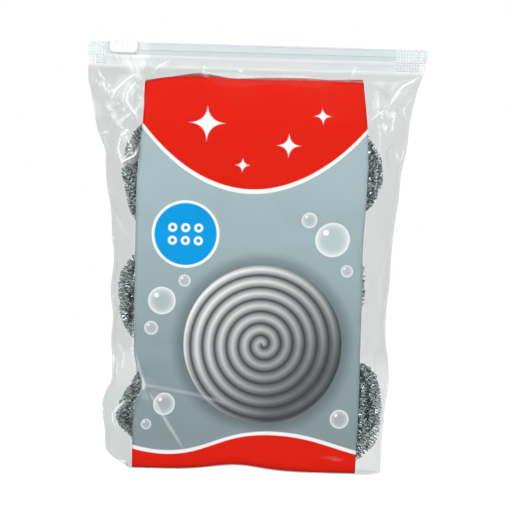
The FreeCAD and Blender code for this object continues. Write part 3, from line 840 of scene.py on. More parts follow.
class SCOURERPACK_OT_insert(bpy.types.Operator):
    """Folds the printed sheet round the scourers"""

    bl_idname = "scourer_pack.insert"
    bl_label = "Fold insert"

    def execute(self, context):
        look = settings(context, "insert")
        rng = np.random.default_rng(SHEET_SEED)
        profile, front, fold = insert_profile()
        width = INSERT_HIGH.x - INSERT_LOW.x
        columns = int(width / SHEET_STEP) + 1
        rows = len(profile)
        depth, height = profile[:, :1], profile[:, 1:]
        left, right, bend = insert_edges(height)
        across = left + (right - left) * np.linspace(0, 1, columns)[None, :]
        bend = bend * np.exp(-((across - left) / BEND_REACH_ACROSS)) * (depth < 0)
        across = across + BEND_INWARD * bend
        side = np.sign(depth) * ramp(np.abs(depth), 0.5 * INSERT_HIGH.y, INSERT_HIGH.y)
        sag = look.dip * gap_between_scourers(across, height) * ramp(height, *SAG_RISE)
        sag = sag + BUCKLE * (1 + waves(height + BUCKLE_SLANT * across, rng, *BUCKLE_WAVES))
        y = depth - side * (sag + BEND_BACK * bend)
        top = ramp(height, ROW_TOPS[-1], INSERT_HIGH.z)
        lift = TOP_WAVE * waves(across, rng, *TOP_WAVES)
        # The back panel's top edge waves by itself and shows over the front's here and there
        ripple = BACK_WAVE * waves(across, rng, *BACK_WAVES) * (depth > 0)
        z = height + top * (lift + ripple - corner_drop(across)) + bowed_up(across, height)
        points = np.stack(np.broadcast_arrays(across, y, z), axis=2).reshape(-1, 3)
        made = mesh_object("folded_insert", points, grid_faces(rows, columns)[:, ::-1])
        sheet_uv(made, rows, columns)
        made.data.materials.append(print_face(look, width, front, fold))
        made.data.materials.append(plain_sheet(look, width, front, fold))
        thicken(made, look.thickness, inner_slot=1)
        dress(made, BAG, "printed_sheet", "printed_insert")
        return {"FINISHED"}


# Clear bag


# Height above the bottom and distance of each side seal's outer edge from the middle, in millimetres
LEFT_OUTLINE = [
    (-6, 60), (0, 69), (3, 75.8), (8.7, 82.4), (14.6, 83.7), (26.4, 85.1), (38, 85.6), (44.1, 84.4),
    (50, 81.6), (67.5, 80), (79.6, 81.9), (103, 82.1), (127, 81.6), (144.5, 83.8), (168, 86.3),
    (180, 88.4), (186, 88.8), (191.5, 91.1), (197.4, 93), (209, 95.2), (221, 97.9), (227, 99.6),
    (242, 100), (250, 100),
]
RIGHT_OUTLINE = [
    (-6, 78), (1.4, 79.1), (19, 79.1), (25, 80.2), (31, 81.8), (54.6, 81.8), (66.4, 81.8), (78.2, 80.4),
    (102, 80.4), (114, 81.2), (137, 82.8), (161, 85.1), (179, 87), (197, 90), (214, 91.9), (220, 92.9),
    (226, 94.6), (232, 96.9), (238, 98.6), (244, 100), (250, 100),
]
ROUND_COLUMNS, SEAL_COLUMNS, BOTTOM_COLUMNS, BOTTOM_ROWS = 33, 4, 60, 25
# The film's grid is closer where it crumples: row numbers and their heights, column numbers and their shares
ROW_STOPS = ((0, 50, 102, 204), (0.0, 60 * MM, 175 * MM, FILM_TOP))
COLUMN_STOPS = ((0, 82, 112, 165), (0.0, 0.369, 0.762, 1.0))
# Heights where the walls start and stop leaning in, and a height over the whole pack
KNEE, LEAN_END, OVER_ALL = ROW_TOPS[-1] - 6 * MM, STRIP_FOOT - 2 * MM, 300 * MM
# Rounding of the lines that the walls follow: their depth, their flat and the seals' outer edges
DEPTH_SPREAD, FLAT_SPREAD, OUTLINE_SPREAD = 4 * MM, 5 * MM, 2 * MM
# Half-depth and half-width of the bag's flat at the zip, its room round the insert, and the least rounding
ZIP_DEPTH, ZIP_FLAT, SHEET_GAP, SHEET_SIDE = 1.5 * MM, 95.3 * MM, 0.25 * MM, 0.6 * MM
LEAST_ROUND = 1.2 * MM
# A side seal's share of its width at the foot, and the heights between which it widens
SEAL_FOOT, SEAL_RISE = 0.3, (2 * MM, 15 * MM)
# Long folds in each wall: width and height, then x and z of each point that they run through, in millimetres
FRONT_FOLDS = [
    (1.6, 1.3, -69, 233, -76, 227.5, -82.5, 220.7, -86, 214),
    (1.4, 1.2, -71.4, 226, -75.3, 218.6, -76, 212),
    (1.7, 1.3, -76.5, 217, -74.5, 212.5, -68, 203.5),
    (1.5, 1.5, -74, 191.5, -77.6, 195, -79.4, 186, -76.6, 178.4, -70.2, 182, -67, 189),
    (1.4, 1, -78, 199, -74, 191.5, -70.5, 184),
    (1.5, 1.1, -94.5, 195.6, -85.5, 196),
    (1.3, 0.9, -89.5, 195, -87, 186),
    (1.6, 0.9, -91, 226, -87.5, 219),
    (2.6, 0.9, -64, 229, -58, 236, -50, 240),
    (1.7, 1.5, 98.5, 236, 92, 231.5, 85.6, 227.3, 80, 219.5, 76, 213.5),
    (1.3, 0.7, 76, 213.5, 71, 210, 65, 205),
    (1.2, 0.8, 70.2, 222, 71.2, 213),
    (1.5, 0.9, 77, 213, 80.4, 209.5, 79.4, 202, 76.5, 199.5),
    (1.5, 0.9, 81.8, 191.5, 83.2, 186, 85.8, 184.6, 88.2, 193),
    (1.7, 0.9, 91, 222, 86, 214, 90, 206),
    (3, 1.2, -68, 76, -64.5, 61, -60.5, 49, -47, 28, -32, 5),
    (2.6, 1, -69, 24, -65.5, 39, -60.5, 49, -35, 45, 2, 36),
    (1.8, 0.6, -62, 54, -60.5, 46, -57, 37),
    (1.5, 1.4, -69.5, 40.5, -74, 36.5, -78, 31.3, -78, 26, -74, 21),
    (1.7, 1.1, -78, 76, -72, 66, -73.8, 54),
    (1.6, 0.9, -80.5, 68, -76, 60, -78, 51),
    (2.4, 0.3, -84, 152, -76, 139, -70, 133),
    (2.4, 0.3, 80, 128, 74.5, 112, 76, 96),
    (3.2, 0.6, 25, 16, 42, 10, 62, 7),
    (1.3, 1.2, -31, 238, -32, 230),
    (1.3, 1.6, -8.5, 238, -11.5, 229),
    (1.5, 1.4, 58, 239, 55, 230),
]
BACK_FOLDS = [
    (2, 0.6, 70, 230, 78, 222, 87, 206),
    (2, 0.6, -94, 228, -84, 220, -75, 208),
    (2, 0.4, -75, 208, -80, 200, -77, 190),
    (2, 0.5, 84, 198, 78, 190, 80, 176),
    (2.4, 0.4, -82, 78, -74, 69, -66, 66),
    (2.4, 0.4, 81, 76, 74, 68, 76, 56),
    (2.2, 0.8, -40, 226, -24, 218, -10, 205),
    (2, 0.9, 62, 48, 50, 26, 36, 6),
    (1.8, 0.7, 62, 48, 68, 60),
    (1.8, 0.8, -66, 34, -56, 18, -48, 5),
    (2.8, 0.5, -24, 122, 4, 108, 34, 98),
]
# Radius of a crest for each millimetre of a fold's width, its milky share, partly whitening and partly a
# painted highlight, and the height of full milk
CREST, CREST_MILK, FULL_FOLD = 0.3 * MM, 0.8, 1.4
# Share of a fold's length over which it tapers, and the share of its height that is left at its ends
FOLD_TAPER, FOLD_END = 0.3, 0.15
# Spacing and share of each size of random crease, how far knots stray from a grid, and the least between two
CREASES, KNOT_STRAY, SAME_POINT = ((17 * MM, 0.8), (6.5 * MM, 0.3), (3.2 * MM, 0.1)), 0.42, 1e-7
# Dips of the sides between the rows and at the foot: share, reach, height of the lowest, and where they act
DIP, DIP_REACH, FOOT_DIP, DIP_SIDES, DIP_RISE = 0.3, 9 * MM, 4 * MM, (69 * MM, 80 * MM), (0, 6 * MM)
# Places across and heights between which taut film turns slack
TAUT_SIDES, TAUT_TOP = (64 * MM, 73 * MM), (230 * MM, 237 * MM)
# Start of the weld under the zip's foot, end of the creases over it, and their fades: there, low and at seals
WELD, HOLD, HOLD_TOP, HOLD_FOOT, OFF_SEAL = 3 * MM, 1 * MM, 14 * MM, 10 * MM, (0.2 * MM, 5 * MM)
# Soft swells of taut film: height and slant, then how many are summed, the shortest and the longest
SWELL, SWELL_SLANT, SWELL_WAVES = 0.5 * MM, 0.4, (5, 40 * MM, 120 * MM)
# Share of the creases that is left low down, what the right side takes from them, and what taut film takes
LOW_CREASES, LOW_RANGE, RIGHT_EASED, RIGHT_RANGE, TAUT_EASED = (
    0.2, (188 * MM, 204 * MM), 0.65, (40 * MM, 65 * MM), 0.86
)
# How far the film may sink: over the insert, further at the sides and under the zip, with a soft stop
SINK, SIDE_SINK, SINK_SIDES, TOP_SINK, SINK_TOP, SOFT_STOP = (
    0.15 * MM, 3 * MM, (69 * MM, 79 * MM), 2 * MM, (229 * MM, 236 * MM), 0.3 * MM
)
# Waves of the side seals: seed, slant, height, sway, reach across, fade under the zip and lengths
SEAL_SEED, SEAL_SLANT, SEAL_WAVE, SEAL_SWAY, SEAL_REACH = 40, 0.2, 1.2 * MM, 0.5 * MM, 4 * MM
SEAL_FADE, SEAL_WAVES = 30 * MM, (6, 14 * MM, 70 * MM)
# Curvature that whitens a crease, partly a painted highlight, the share of it that leaves no mark, and the
# milk of a long fold's crest, partly a painted highlight too
SHARP_BEND, BEND_START, CREST_WHITE_AND_HIGHLIGHT = 420.0, 0.15, 2.2
# Lower edge of the milky patch beside the slider, a painted highlight of the crumpled film there, as x and z,
# in millimetres
SLIDER_HIGHLIGHT_PATCH = [
    (-100, 262), (-91, 243.5), (-83, 239.5), (-77, 234), (-72, 229), (-68.5, 228), (-66, 238), (-61, 244),
    (100, 270),
]
PATCH_SPREAD, PATCH_EDGE, PATCH_HIGHLIGHT, MOST_MILK = 2.5 * MM, (-2 * MM, 4 * MM), 1.1, 2.0
PATCH_CLOUDS, PATCH_SLANT, PATCH_WAVES = 0.15, 0.4, (5, 3 * MM, 10 * MM)
# Milk of the welded film and its top edge, what crushing takes from it and from creases, and the back's share
WELD_MILK, TOP_MILK, CRUSH_WELD, CRUSH_CREASE, BACK_MILK = 0.7, 0.5, 0.9, 0.7, 0.2
TOP_EDGE, CRUSH_EDGE = (FILM_TOP - 2.4 * MM, FILM_TOP - 0.8 * MM), (0, 1 * MM)
# Film turns slack past the sheet's sides, and from a little under its top edge
SHEET_EDGE, SHEET_TOP_EDGE = (-1 * MM, 1 * MM), (2.4 * MM, 1.0 * MM)
# How much film is gathered, which deepens the painted shade of its tint and its gloss, and where more or
# less: share, side, a ramp across and one up, in millimetres
GATHERED = 1.08
GATHERS = (
    (0.1, -1, 0, 60, -2, -1),
    (0.25, -1, 55, 70, 70, 30),
    (-0.2, 1, 0, 60, 60, 20),
    (-0.08, 1, 0, 60, 150, 190),
)
# Seed, height and spacing of the bottom's creases
BOTTOM_SEED, BOTTOM_CREASE, BOTTOM_SPACING = 9, 0.12 * MM, 9 * MM


def creased(across, along, spacing, rng):
    """Flat facets with sharp edges, as in crumpled film: random heights joined by triangles."""
    margin = 2 * spacing
    low = np.array([across.min(), along.min()]) - margin
    high = np.array([across.max(), along.max()]) + margin
    counts = ((high - low) / spacing).astype(int)
    knots = np.stack(np.meshgrid(*map(np.arange, counts), indexing="ij"), axis=2).reshape(-1, 2)
    knots = low + (knots + rng.uniform(-KNOT_STRAY, KNOT_STRAY, knots.shape)) * spacing
    heights = rng.uniform(-1, 1, len(knots))
    corners, _, facets, sources, _, _ = delaunay_2d_cdt([Vector(k) for k in knots], [], [], 0, SAME_POINT)
    solid = [(corner.x, corner.y, heights[source[0]]) for corner, source in zip(corners, sources)]
    facet_tree = BVHTree.FromPolygons(solid, facets)
    above, down = 2.0, Vector((0, 0, -1))
    starts = [Vector((u, v, above)) for u, v in zip(across.ravel(), along.ravel())]
    return np.array([facet_tree.ray_cast(start, down)[0].z for start in starts]).reshape(across.shape)


def fold_heights(x, z, folds):
    """Heights of long folds, which taper to their ends, and how near each point is to a fold's crest."""
    total, crests = np.zeros(x.shape), np.zeros(x.shape)
    for width, height, *line in folds:
        line = np.reshape(line, (-1, 2)) * MM
        runs = np.hypot(*np.diff(line, axis=0).T)
        whole = runs.sum()
        nearest = np.full(x.shape, FAR)
        along = np.zeros(x.shape)
        for (x0, z0), (x1, z1), run, before in zip(line, line[1:], runs, np.cumsum(runs) - runs):
            share = np.clip(((x - x0) * (x1 - x0) + (z - z0) * (z1 - z0)) / run**2, 0, 1)
            off = np.hypot(x - x0 - share * (x1 - x0), z - z0 - share * (z1 - z0))
            along = np.where(off < nearest, before + share * run, along)
            nearest = np.minimum(nearest, off)
        taper = ramp(along, 0, FOLD_TAPER * whole) * ramp(whole - along, 0, FOLD_TAPER * whole)
        reach = CREST * width
        crest = np.exp(-(np.hypot(nearest, reach) - reach) / (width * MM))
        total += height * MM * crest * (FOLD_END + (1 - FOLD_END) * taper)
        # Milk along the crest, partly whitening and partly a painted highlight
        milk = hill(nearest, 0, CREST_MILK * reach) * taper * np.clip(height / FULL_FOLD, 0, 1)
        crests = np.maximum(crests, milk)
    return total, crests


def wall_depth(z):
    """Half-depth of the bag at a height: even over the scourers, then leaning in to the zip."""
    full = INSERT_HIGH.y + SHEET_GAP
    line = [(0, full), (KNEE, full), (LEAN_END, ZIP_DEPTH), (OVER_ALL, ZIP_DEPTH)]
    return smooth_line(line, z, DEPTH_SPREAD)


def side_section(outline, seal, z):
    """At each height: how far the wall stays flat, where both walls meet and the outer edge of their seal."""
    edge = smooth_line(np.array(outline) * MM, z, OUTLINE_SPREAD)
    meet = edge - seal * (SEAL_FOOT + (1 - SEAL_FOOT) * ramp(z, *SEAL_RISE))
    wide = max(abs(INSERT_LOW.x), INSERT_HIGH.x) + SHEET_SIDE
    line = [(0, wide), (KNEE, wide), (STRIP_FOOT, ZIP_FLAT), (OVER_ALL, ZIP_FLAT)]
    return np.minimum(smooth_line(line, z, FLAT_SPREAD), meet - LEAST_ROUND), meet, edge


def rounded_side(outline, seal, depth, z):
    """Points from the end of the flat round to where the walls meet, and out over the seal."""
    flat, meet, edge = side_section(outline, seal, z)
    share = np.sin(np.linspace(0, math.pi / 2, ROUND_COLUMNS + 1)[None, 1:])
    seal_share = np.linspace(0, 1, SEAL_COLUMNS + 1)[None, 1:]
    x = np.hstack([flat + (meet - flat) * share, meet + (edge - meet) * seal_share])
    y = np.hstack([depth * np.cos(math.pi / 2 * share), np.zeros((len(z), SEAL_COLUMNS))])
    return flat, x, np.maximum(y, 0.0)


def across_bag(look, z, shares):
    """Places across one wall and their distance from the middle plane, from seal to seal at each height."""
    depth = wall_depth(z)
    left, left_x, left_y = rounded_side(LEFT_OUTLINE, look.seal_width, depth, z)
    right, right_x, right_y = rounded_side(RIGHT_OUTLINE, look.seal_width, depth, z)
    middle_x = -left + (left + right) * shares[None, :]
    middle_y = np.broadcast_to(depth, middle_x.shape)
    return np.hstack([-left_x[:, ::-1], middle_x, right_x]), np.hstack([left_y[:, ::-1], middle_y, right_y])


def welded(height):
    """1 where the film is welded to the zip, 0 under it."""
    return ramp(height, STRIP_FOOT - WELD, STRIP_FOOT)


def wall_grid(look):
    """Heights of one wall's rows, and its points before it crumples: across, off the middle and up."""
    rows, shares = [np.interp(np.arange(stops[0][-1] + 1), *stops) for stops in (ROW_STOPS, COLUMN_STOPS)]
    z = np.maximum(rows, look.thickness)[:, None]
    x, y = across_bag(look, z, shares)
    height = np.broadcast_to(z, x.shape).copy()
    # Between the rows, and above and below them, nothing holds the sides of the film out
    dips = sum(hill(height, gap, DIP_REACH) for gap in [FOOT_DIP] + ROW_TOPS)
    y = y * (1 - DIP * np.clip(dips, 0, 1) * ramp(np.abs(x), *DIP_SIDES) * ramp(height, *DIP_RISE))
    # The top is welded flat over the zip and its ends
    return z, x, np.maximum(y, ZIP_DEPTH * welded(height)), height


def distance_across(x, y):
    """Distance across the film from its middle, so that creases aren't stretched over the rounded sides."""
    steps = np.hypot(*[np.diff(places, axis=1, prepend=places[:, :1]) for places in (x, y)])
    across = np.cumsum(steps, axis=1)
    return across - across[:, across.shape[1] // 2][:, None]


def crumpled(x, height, across, taut, off_seal, folds, look, rng):
    """How far the film lifts off its smooth form, and how near each point is to a long fold's crest."""
    facets = sum(share * creased(across, height, spacing, rng) for spacing, share in CREASES)
    swell = SWELL * (1 + waves(across + SWELL_SLANT * height, rng, *SWELL_WAVES)) * taut
    loose = LOW_CREASES + (1 - LOW_CREASES) * ramp(height, *LOW_RANGE)
    loose = loose * (1 - RIGHT_EASED * ramp(x, *RIGHT_RANGE))
    folded, crests = fold_heights(x, height, folds)
    held = ramp(STRIP_FOOT + HOLD - height, 0, HOLD_TOP) * ramp(height, 0, HOLD_FOOT)
    lift = look.crumple * facets * (1 - TAUT_EASED * taut) * loose
    lift = (lift + folded) * held * off_seal + swell * held
    # Nothing sinks into what it lies on
    floor = -SINK - SIDE_SINK * ramp(np.abs(x), *SINK_SIDES) - TOP_SINK * ramp(height, *SINK_TOP)
    return 0.5 * (lift + floor + np.hypot(lift - floor, SOFT_STOP)), crests


def wave_seals(points, z, x, height, look):
    """Waves the side seals, the same on both walls."""
    rng = np.random.default_rng(look.seed + SEAL_SEED)
    for end, outline in ((-1, LEFT_OUTLINE), (1, RIGHT_OUTLINE)):
        _, meet, edge = side_section(outline, look.seal_width, z)
        wave = waves(height + SEAL_SLANT * np.abs(x), rng, *SEAL_WAVES)
        reach = ramp(end * x, meet - SEAL_REACH, edge) * ramp(STRIP_FOOT - height, 0, SEAL_FADE)
        points[:, :, 1] += SEAL_WAVE * wave * reach
        points[:, :, 0] += end * SEAL_SWAY * wave * reach


def slackness(z, x, height, side):
    """How slack the film hangs, which sets the painted shade in its tint: film that lies on the insert is
    taut and clear.
    """
    left, right, bent = insert_edges(z)
    left = left + BEND_INWARD * bent * (side < 0)
    off_sheet = np.maximum(ramp(left - x, *SHEET_EDGE), ramp(x - right, *SHEET_EDGE))
    low, high = [INSERT_HIGH.z - corner_drop(x) - edge for edge in SHEET_TOP_EDGE]
    off_sheet = np.maximum(off_sheet, ramp(height, low, high))
    gathered = GATHERED
    for share, way, start, end, foot, top in GATHERS:
        gathered = gathered + share * ramp(way * x / MM, start, end) * ramp(height / MM, foot, top)
    return off_sheet * (1 - welded(height)) * gathered


def milk_and_highlights(z, x, height, across, lift, fold_milk_and_highlight, off_seal, side, rng):
    """How milky the film is: at sharp creases and long folds, partly whitening and partly a painted
    highlight; beside the slider, a painted highlight; and where it is welded.
    """
    bend = 0.0
    for way, step in ((0, np.gradient(z, axis=0)), (1, np.gradient(across, axis=1))):
        bend = bend + np.abs(np.gradient(np.gradient(lift, axis=way) / step, axis=way) / step)
    # Sharp creases and fold crests turn milky: partly whitening, partly a painted highlight
    milk = np.clip(bend / SHARP_BEND - BEND_START, 0, 1) * off_seal + fold_milk_and_highlight
    low_edge = smooth_line(np.array(SLIDER_HIGHLIGHT_PATCH) * MM, x, PATCH_SPREAD)
    clouds = 1 - PATCH_CLOUDS + PATCH_CLOUDS * waves(x + PATCH_SLANT * height, rng, *PATCH_WAVES)
    # Painted highlight beside the slider, where the crumpled film catches the light
    patch = ramp(height - low_edge, *PATCH_EDGE) * clouds
    # Milk shows white on the front; on the back, seen from inside the bag, it would be grey
    milk = np.maximum(milk, np.clip(PATCH_HIGHLIGHT * patch, 0, MOST_MILK)) * (1.0 if side < 0 else BACK_MILK)
    # Crushed flat over the zip's ends, the film is clear and their dots show through
    left_end, right_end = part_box("zip_end_left")[1].x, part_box("zip_end_right")[0].x
    crushed = np.maximum(ramp(left_end - x, *CRUSH_EDGE), ramp(x - right_end, *CRUSH_EDGE))
    weld = welded(height)
    milk = milk * (1 - CRUSH_CREASE * crushed * weld)
    return milk + (WELD_MILK * weld + TOP_MILK * ramp(height, *TOP_EDGE)) * (1 - CRUSH_WELD * crushed)


def film_wall(name, side, folds, look):
    """One wall of the bag: a flat that rounds off to the side seals, crumpled where it hangs loose."""
    rng = np.random.default_rng(look.seed + (side > 0))
    z, x, y, height = wall_grid(look)
    across = distance_across(x, y)
    taut = (1 - ramp(np.abs(x), *TAUT_SIDES)) * (1 - ramp(height, *TAUT_TOP))
    off_seal = ramp(y, *OFF_SEAL)
    lift, crests = crumpled(x, height, across, taut, off_seal, folds, look, rng)
    points = np.stack([x, side * y, height], axis=2)
    normal = np.cross(np.gradient(points, axis=1), np.gradient(points, axis=0)) * -side
    normal = normal / np.maximum(np.linalg.norm(normal, axis=2, keepdims=True), 1e-12)
    points = points + normal * lift[:, :, None]
    wave_seals(points, z, x, height, look)
    points[:, :, 1] += side * 0.5 * look.thickness
    points[:, :, 2] = np.maximum(points[:, :, 2], look.thickness) + bowed_up(x, height)
    faces = grid_faces(*x.shape)
    made = mesh_object(name, points.reshape(-1, 3), faces if side < 0 else faces[:, ::-1])
    point_value(made, "slack", slackness(z, x, height, side))
    # Fold crests turn milky: partly whitening, partly a painted highlight
    fold_milk_and_highlight = CREST_WHITE_AND_HIGHLIGHT * crests * (1 - taut)
    point_value(made, "crease", milk_and_highlights(z, x, height, across, lift, fold_milk_and_highlight, off_seal, side, rng))
    return made


def film_bottom(name, look):
    """The folded bottom: a flat strip with faint creases, out to the lower edges of both walls."""
    edges = across_bag(look, np.array([[0.0]]), np.linspace(0, 1, BOTTOM_COLUMNS))
    edge_x, edge_y = [edge[0, SEAL_COLUMNS:-SEAL_COLUMNS] for edge in edges]
    x = np.broadcast_to(edge_x, (BOTTOM_ROWS, len(edge_x)))
    y = edge_y * np.linspace(-1, 1, BOTTOM_ROWS)[:, None]
    rng = np.random.default_rng(look.seed + BOTTOM_SEED)
    lift = BOTTOM_CREASE * (1 + np.clip(creased(x, y, BOTTOM_SPACING, rng), -1, 1))
    points = np.stack([x, y, look.thickness + lift + bowed_up(x, 0.0)], axis=2)
    made = mesh_object(name, points.reshape(-1, 3), grid_faces(*x.shape))
    point_value(made, "slack", np.ones(x.shape))
    point_value(made, "crease", np.zeros(x.shape))
    return made


class SCOURERPACK_OT_bag(bpy.types.Operator):
    """Shapes the front, the back and the bottom of the crumpled clear bag"""

    bl_idname = "scourer_pack.bag"
    bl_label = "Shape bag"

    def execute(self, context):
        look = settings(context, "film")
        finish = clear_film(look)
        walls = {
            "bag_front_film": film_wall("crumpled_front_film", -1, FRONT_FOLDS, look),
            "bag_back_film": film_wall("crumpled_back_film", 1, BACK_FOLDS, look),
            "bag_bottom_fold": film_bottom("folded_bottom_film", look),
        }
        for node, made in walls.items():
            made.data.materials.append(finish)
            thicken(made, look.thickness)
            dress(made, BAG, "clear_film", node)
        return {"FINISHED"}


# Zip


# Finish of the zip and the slider: share of light let through, blur, streaks and wear
STRIP_FINISH, CRUSHED_FINISH = (0.3, 0.3, 0.3, 0.7), (0.3, 0.3, 0.3, 0.2)
SLIDER_FINISH = (0.27, 0.34, 0.15, 0.0)
DOT_SEGMENTS, DOT_RINGS, DOT_FLATNESS = 8, 5, 0.45
# Left free of dots along and up a crushed end, in pitches
MARGIN_ALONG, MARGIN_UP = 1.0, 0.6


def crimp_tree():
    """Covers both sides of a flat plate with rows of round crimp dots."""
    inputs = {"Columns": "Int", "Rows": "Int", "Pitch": "Float", "Dot Radius": "Float", "Half Depth": "Float"}
    inputs |= {"Middle": "Vector", "Material": "Material"}
    tree, given, result = geometry_tree("crimp_dots", inputs)
    values = {}
    for axis, label in (("X", "Columns"), ("Y", "Rows")):
        values[f"Vertices {axis}"] = given[label]
        values[f"Size {axis}"] = (given[label] - 1.0) * given["Pitch"]
    grid = add(tree, "GeometryNodeMeshGrid", values)
    upright = add(tree, "GeometryNodeTransform", {"Geometry": grid, "Rotation": (math.pi / 2, 0.0, 0.0)})
    values = {"Segments": DOT_SEGMENTS, "Rings": DOT_RINGS, "Radius": given["Dot Radius"]}
    ball = add(tree, "GeometryNodeMeshUVSphere", values)
    flat = add(tree, "GeometryNodeTransform", {"Geometry": ball, "Scale": (1.0, DOT_FLATNESS, 1.0)})
    dot = add(tree, "GeometryNodeStoreNamedAttribute", {"Geometry": flat, "Name": "dot", "Value": 1.0})
    dots = add(tree, "GeometryNodeInstanceOnPoints", {"Points": upright, "Instance": dot})
    both = add(tree, "GeometryNodeJoinGeometry", {0: given["Geometry"]})
    for sign in (-1.0, 1.0):
        shift = add(tree, "ShaderNodeCombineXYZ", {"Y": given["Half Depth"] * sign})
        place = add(tree, "ShaderNodeVectorMath", {0: given["Middle"], 1: shift}, operation="ADD")
        face = add(tree, "GeometryNodeTransform", {"Geometry": dots, "Translation": place})
        feed(tree, both.inputs[0], face)
    return finish_tree(tree, both, given["Material"], result)


class SCOURERPACK_OT_zip(bpy.types.Operator):
    """Finishes the zip strips and crimps the ends of the zip"""

    bl_idname = "scourer_pack.zip"
    bl_label = "Crimp zip"

    def execute(self, context):
        look = settings(context, "zip")
        finish = milky_plastic("zip_plastic", look.milky, *STRIP_FINISH)
        for node in ("zip_hook_strip", "zip_groove_strip"):
            for slot in NODES[node].material_slots:
                slot.material = finish
        tree = crimp_tree()
        crushed = milky_plastic("crushed_plastic", look.milky, *CRUSHED_FINISH)
        for node in ("zip_end_left", "zip_end_right"):
            low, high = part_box(node)
            values = {
                "Columns": int((high.x - low.x - MARGIN_ALONG * look.dot_pitch) / look.dot_pitch) + 1,
                "Rows": int((high.z - low.z - MARGIN_UP * look.dot_pitch) / look.dot_pitch) + 1,
                "Pitch": look.dot_pitch,
                "Dot Radius": look.dot_radius,
                "Half Depth": high.y,
                "Middle": (low + high) / 2,
                "Material": crushed,
            }
            made = grown(f"crimped_{node}", merged_copy(node), tree, values)
            dress(made, BAG, "zip_plastic", node)
        return {"FINISHED"}


SLIDER_GRAIN, SLIDER_SMOOTHING = 0.2 * MM, 4
# Depth under the slider's outer faces over which the rounding fades, so that its channel stays as it is
SLIDER_SKIN = (0.3 * MM, 1.0 * MM)


def round_corners(made, low, high, radius):
    """Pulls in the four corners of a block's front view to a radius, on its outside alone."""
    points = np.zeros(len(made.data.vertices) * 3, np.float32)
    made.data.vertices.foreach_get("co", points)
    points = points.reshape(-1, 3)
    middle, straight = np.array(low + high) / 2, np.array(high - low) / 2 - radius
    past = np.maximum(np.abs(points - middle) - straight, 0)[:, (0, 2)]
    share = past.max(axis=1) / np.maximum(np.hypot(*past.T), 1e-9)
    depth = np.minimum(points - np.array(low), np.array(high) - points)[:, 1:].min(axis=1)
    outside = (past.min(axis=1) > 0) * (1 - ramp(depth, *SLIDER_SKIN))
    for column, axis in enumerate((0, 2)):
        inward = past[:, column] * (1 - share) * outside
        points[:, axis] -= np.sign(points[:, axis] - middle[axis]) * inward
    made.data.vertices.foreach_set("co", points.ravel())


class SCOURERPACK_OT_slider(bpy.types.Operator):
    """Moulds the zip's slider with soft edges and round corners"""

    bl_idname = "scourer_pack.slider"
    bl_label = "Mould slider"

    def execute(self, context):
        look = settings(context, "zip")
        node = "zip_slider"
        made = placed("moulded_slider", merged_copy(node))
        grain = made.modifiers.new("grain", "REMESH")
        grain.mode = "VOXEL"
        grain.voxel_size = SLIDER_GRAIN
        grain.use_smooth_shade = True
        soft = made.modifiers.new("soft", "SMOOTH")
        soft.iterations = SLIDER_SMOOTHING
        apply_modifiers(made)
        round_corners(made, *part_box(node), look.slider_corner)
        made.data.materials.clear()
        made.data.materials.append(milky_plastic("slider_plastic", look.white, *SLIDER_FINISH))
        dress(made, BODY_OF[node], "slider_plastic", node)
        return {"FINISHED"}


# Stage


# Name, place, size and watts of each lamp; all point at the pack
LAMPS = (
    ("key", (-0.8, -0.95, 0.75), (0.32, 0.4), 5.7),
    ("fill", (0.95, -0.85, 0.4), (0.25, 0.45), 3.75),
    ("left_side", (-1.15, -0.35, 0.5), (0.25, 0.3), 2.6),
    ("right_side", (1.15, -0.3, 0.45), (0.25, 0.3), 2.6),
    ("top", (0.15, -0.4, 1.15), (0.45, 0.2), 2.65),
    ("low", (-0.35, -1.15, 0.1), (0.2, 0.16), 1.1),
    ("back_left", (-0.16, 1.25, 0.85), (0.3, 0.3), 4.0),
    ("back_right", (0.16, 1.25, 0.6), (0.25, 0.4), 3.2),
)
WHITE, FLOOR_GREY = (1.0, 1.0, 1.0), (0.86, 0.86, 0.86)
FLOOR_HALF, FLOOR_GLOW, GLOW_SHARE = 1.6, 1.16, 0.82


def seen_rays(tree):
    """1 for what is seen straight, mirrored or through something, 0 for other light."""
    path = add(tree, "ShaderNodeLightPath").outputs
    kinds = ("Camera", "Glossy", "Transmission")
    straight, mirrored, through = [Field(tree, path[f"Is {kind} Ray"]) for kind in kinds]
    return straight.most(mirrored).most(through)


def white_world(ambient):
    """White where it is seen straight, mirrored or through something; soft light for the rest."""
    world = bpy.data.worlds.new("studio")
    world.use_nodes = True
    tree = world.node_tree
    tree.nodes.clear()
    strength = between(tree, seen_rays(tree), ambient, 1.0)
    light = add(tree, "ShaderNodeBackground", {"Color": WHITE, "Strength": strength})
    feed(tree, tree.nodes.new("ShaderNodeOutputWorld").inputs["Surface"], light)
    bpy.context.scene.world = world


def pale_floor():
    """A wide white floor that keeps a faint shadow."""
    corners = [(x * FLOOR_HALF, y * FLOOR_HALF, 0.0) for x, y in ((-1, -1), (1, -1), (1, 1), (-1, 1))]
    made = mesh_object("floor", corners, [(0, 1, 2, 3)])
    finish, tree, surface = material("pale_floor")
    matt = add(tree, "ShaderNodeBsdfDiffuse", {"Color": FLOOR_GREY})
    glow = add(tree, "ShaderNodeEmission", {"Color": WHITE, "Strength": FLOOR_GLOW})
    feed(tree, surface, shader_mix(tree, seen_rays(tree) * GLOW_SHARE, matt, glow))
    made.data.materials.append(finish)


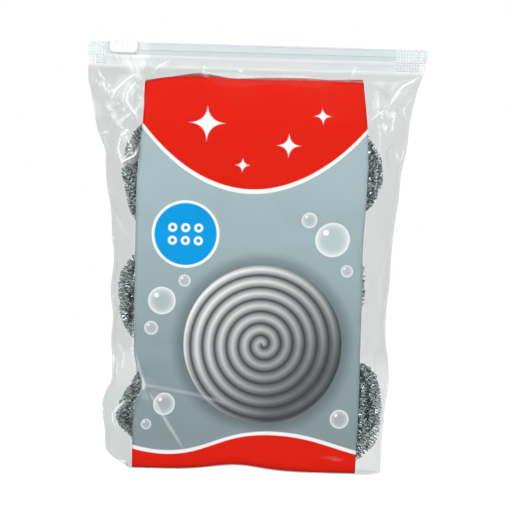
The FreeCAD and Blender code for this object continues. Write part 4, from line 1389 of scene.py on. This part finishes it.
class SCOURERPACK_OT_stage(bpy.types.Operator):
    """Sets the floor, the light and the camera"""

    bl_idname = "scourer_pack.stage"
    bl_label = "Set stage"

    def execute(self, context):
        look = settings(context, "stage")
        scene = context.scene
        middle = Vector(look.middle)
        pale_floor()
        white_world(look.ambient)
        for name, place, size, watts in LAMPS:
            lamp = bpy.data.lights.new(name, "AREA")
            lamp.shape = "RECTANGLE"
            lamp.size, lamp.size_y = size
            lamp.energy = watts
            made = placed(name, lamp)
            made.location = place
            made.rotation_euler = (middle - Vector(place)).to_track_quat("-Z", "Y").to_euler()
        camera = placed("camera", bpy.data.cameras.new("camera"))
        camera.data.lens = camera.data.sensor_width * look.distance / look.frame_width
        camera.location = middle - Vector((0.0, look.distance, 0.0))
        camera.rotation_euler = (math.pi / 2, -look.roll, 0.0)
        scene.camera = camera
        scene.view_settings.view_transform = "Standard"
        return {"FINISHED"}


class SCOURERPACK_PT_pack(bpy.types.Panel):
    """Lists the pieces of the pack and their settings"""

    bl_idname = "SCOURERPACK_PT_pack"
    bl_label = "Scourer pack"
    bl_space_type = "VIEW_3D"
    bl_region_type = "UI"
    bl_category = "Scourer pack"

    def draw(self, context):
        for operator in OPERATORS:
            self.layout.operator(operator.bl_idname)
        for part, group in SETTINGS.items():
            box = self.layout.box()
            box.label(text=part.capitalize())
            for name in group.__annotations__:
                box.prop(settings(context, part), name)


OPERATORS = (
    SCOURERPACK_OT_scourers,
    SCOURERPACK_OT_insert,
    SCOURERPACK_OT_bag,
    SCOURERPACK_OT_zip,
    SCOURERPACK_OT_slider,
    SCOURERPACK_OT_stage,
)
CLASSES = (*SETTINGS.values(), *OPERATORS, SCOURERPACK_PT_pack)


def register():
    for item in CLASSES:
        bpy.utils.register_class(item)
    for part, group in SETTINGS.items():
        setattr(bpy.types.Scene, f"scourer_pack_{part}", PointerProperty(type=group))


def unregister():
    for part in SETTINGS:
        delattr(bpy.types.Scene, f"scourer_pack_{part}")
    for item in reversed(CLASSES):
        bpy.utils.unregister_class(item)


def main():
    register()
    bpy.ops.scourer_pack.stage()
    bpy.ops.scourer_pack.scourers()
    bpy.ops.scourer_pack.insert()
    bpy.ops.scourer_pack.bag()
    bpy.ops.scourer_pack.zip()
    bpy.ops.scourer_pack.slider()


if __name__ == "__main__":
    main()
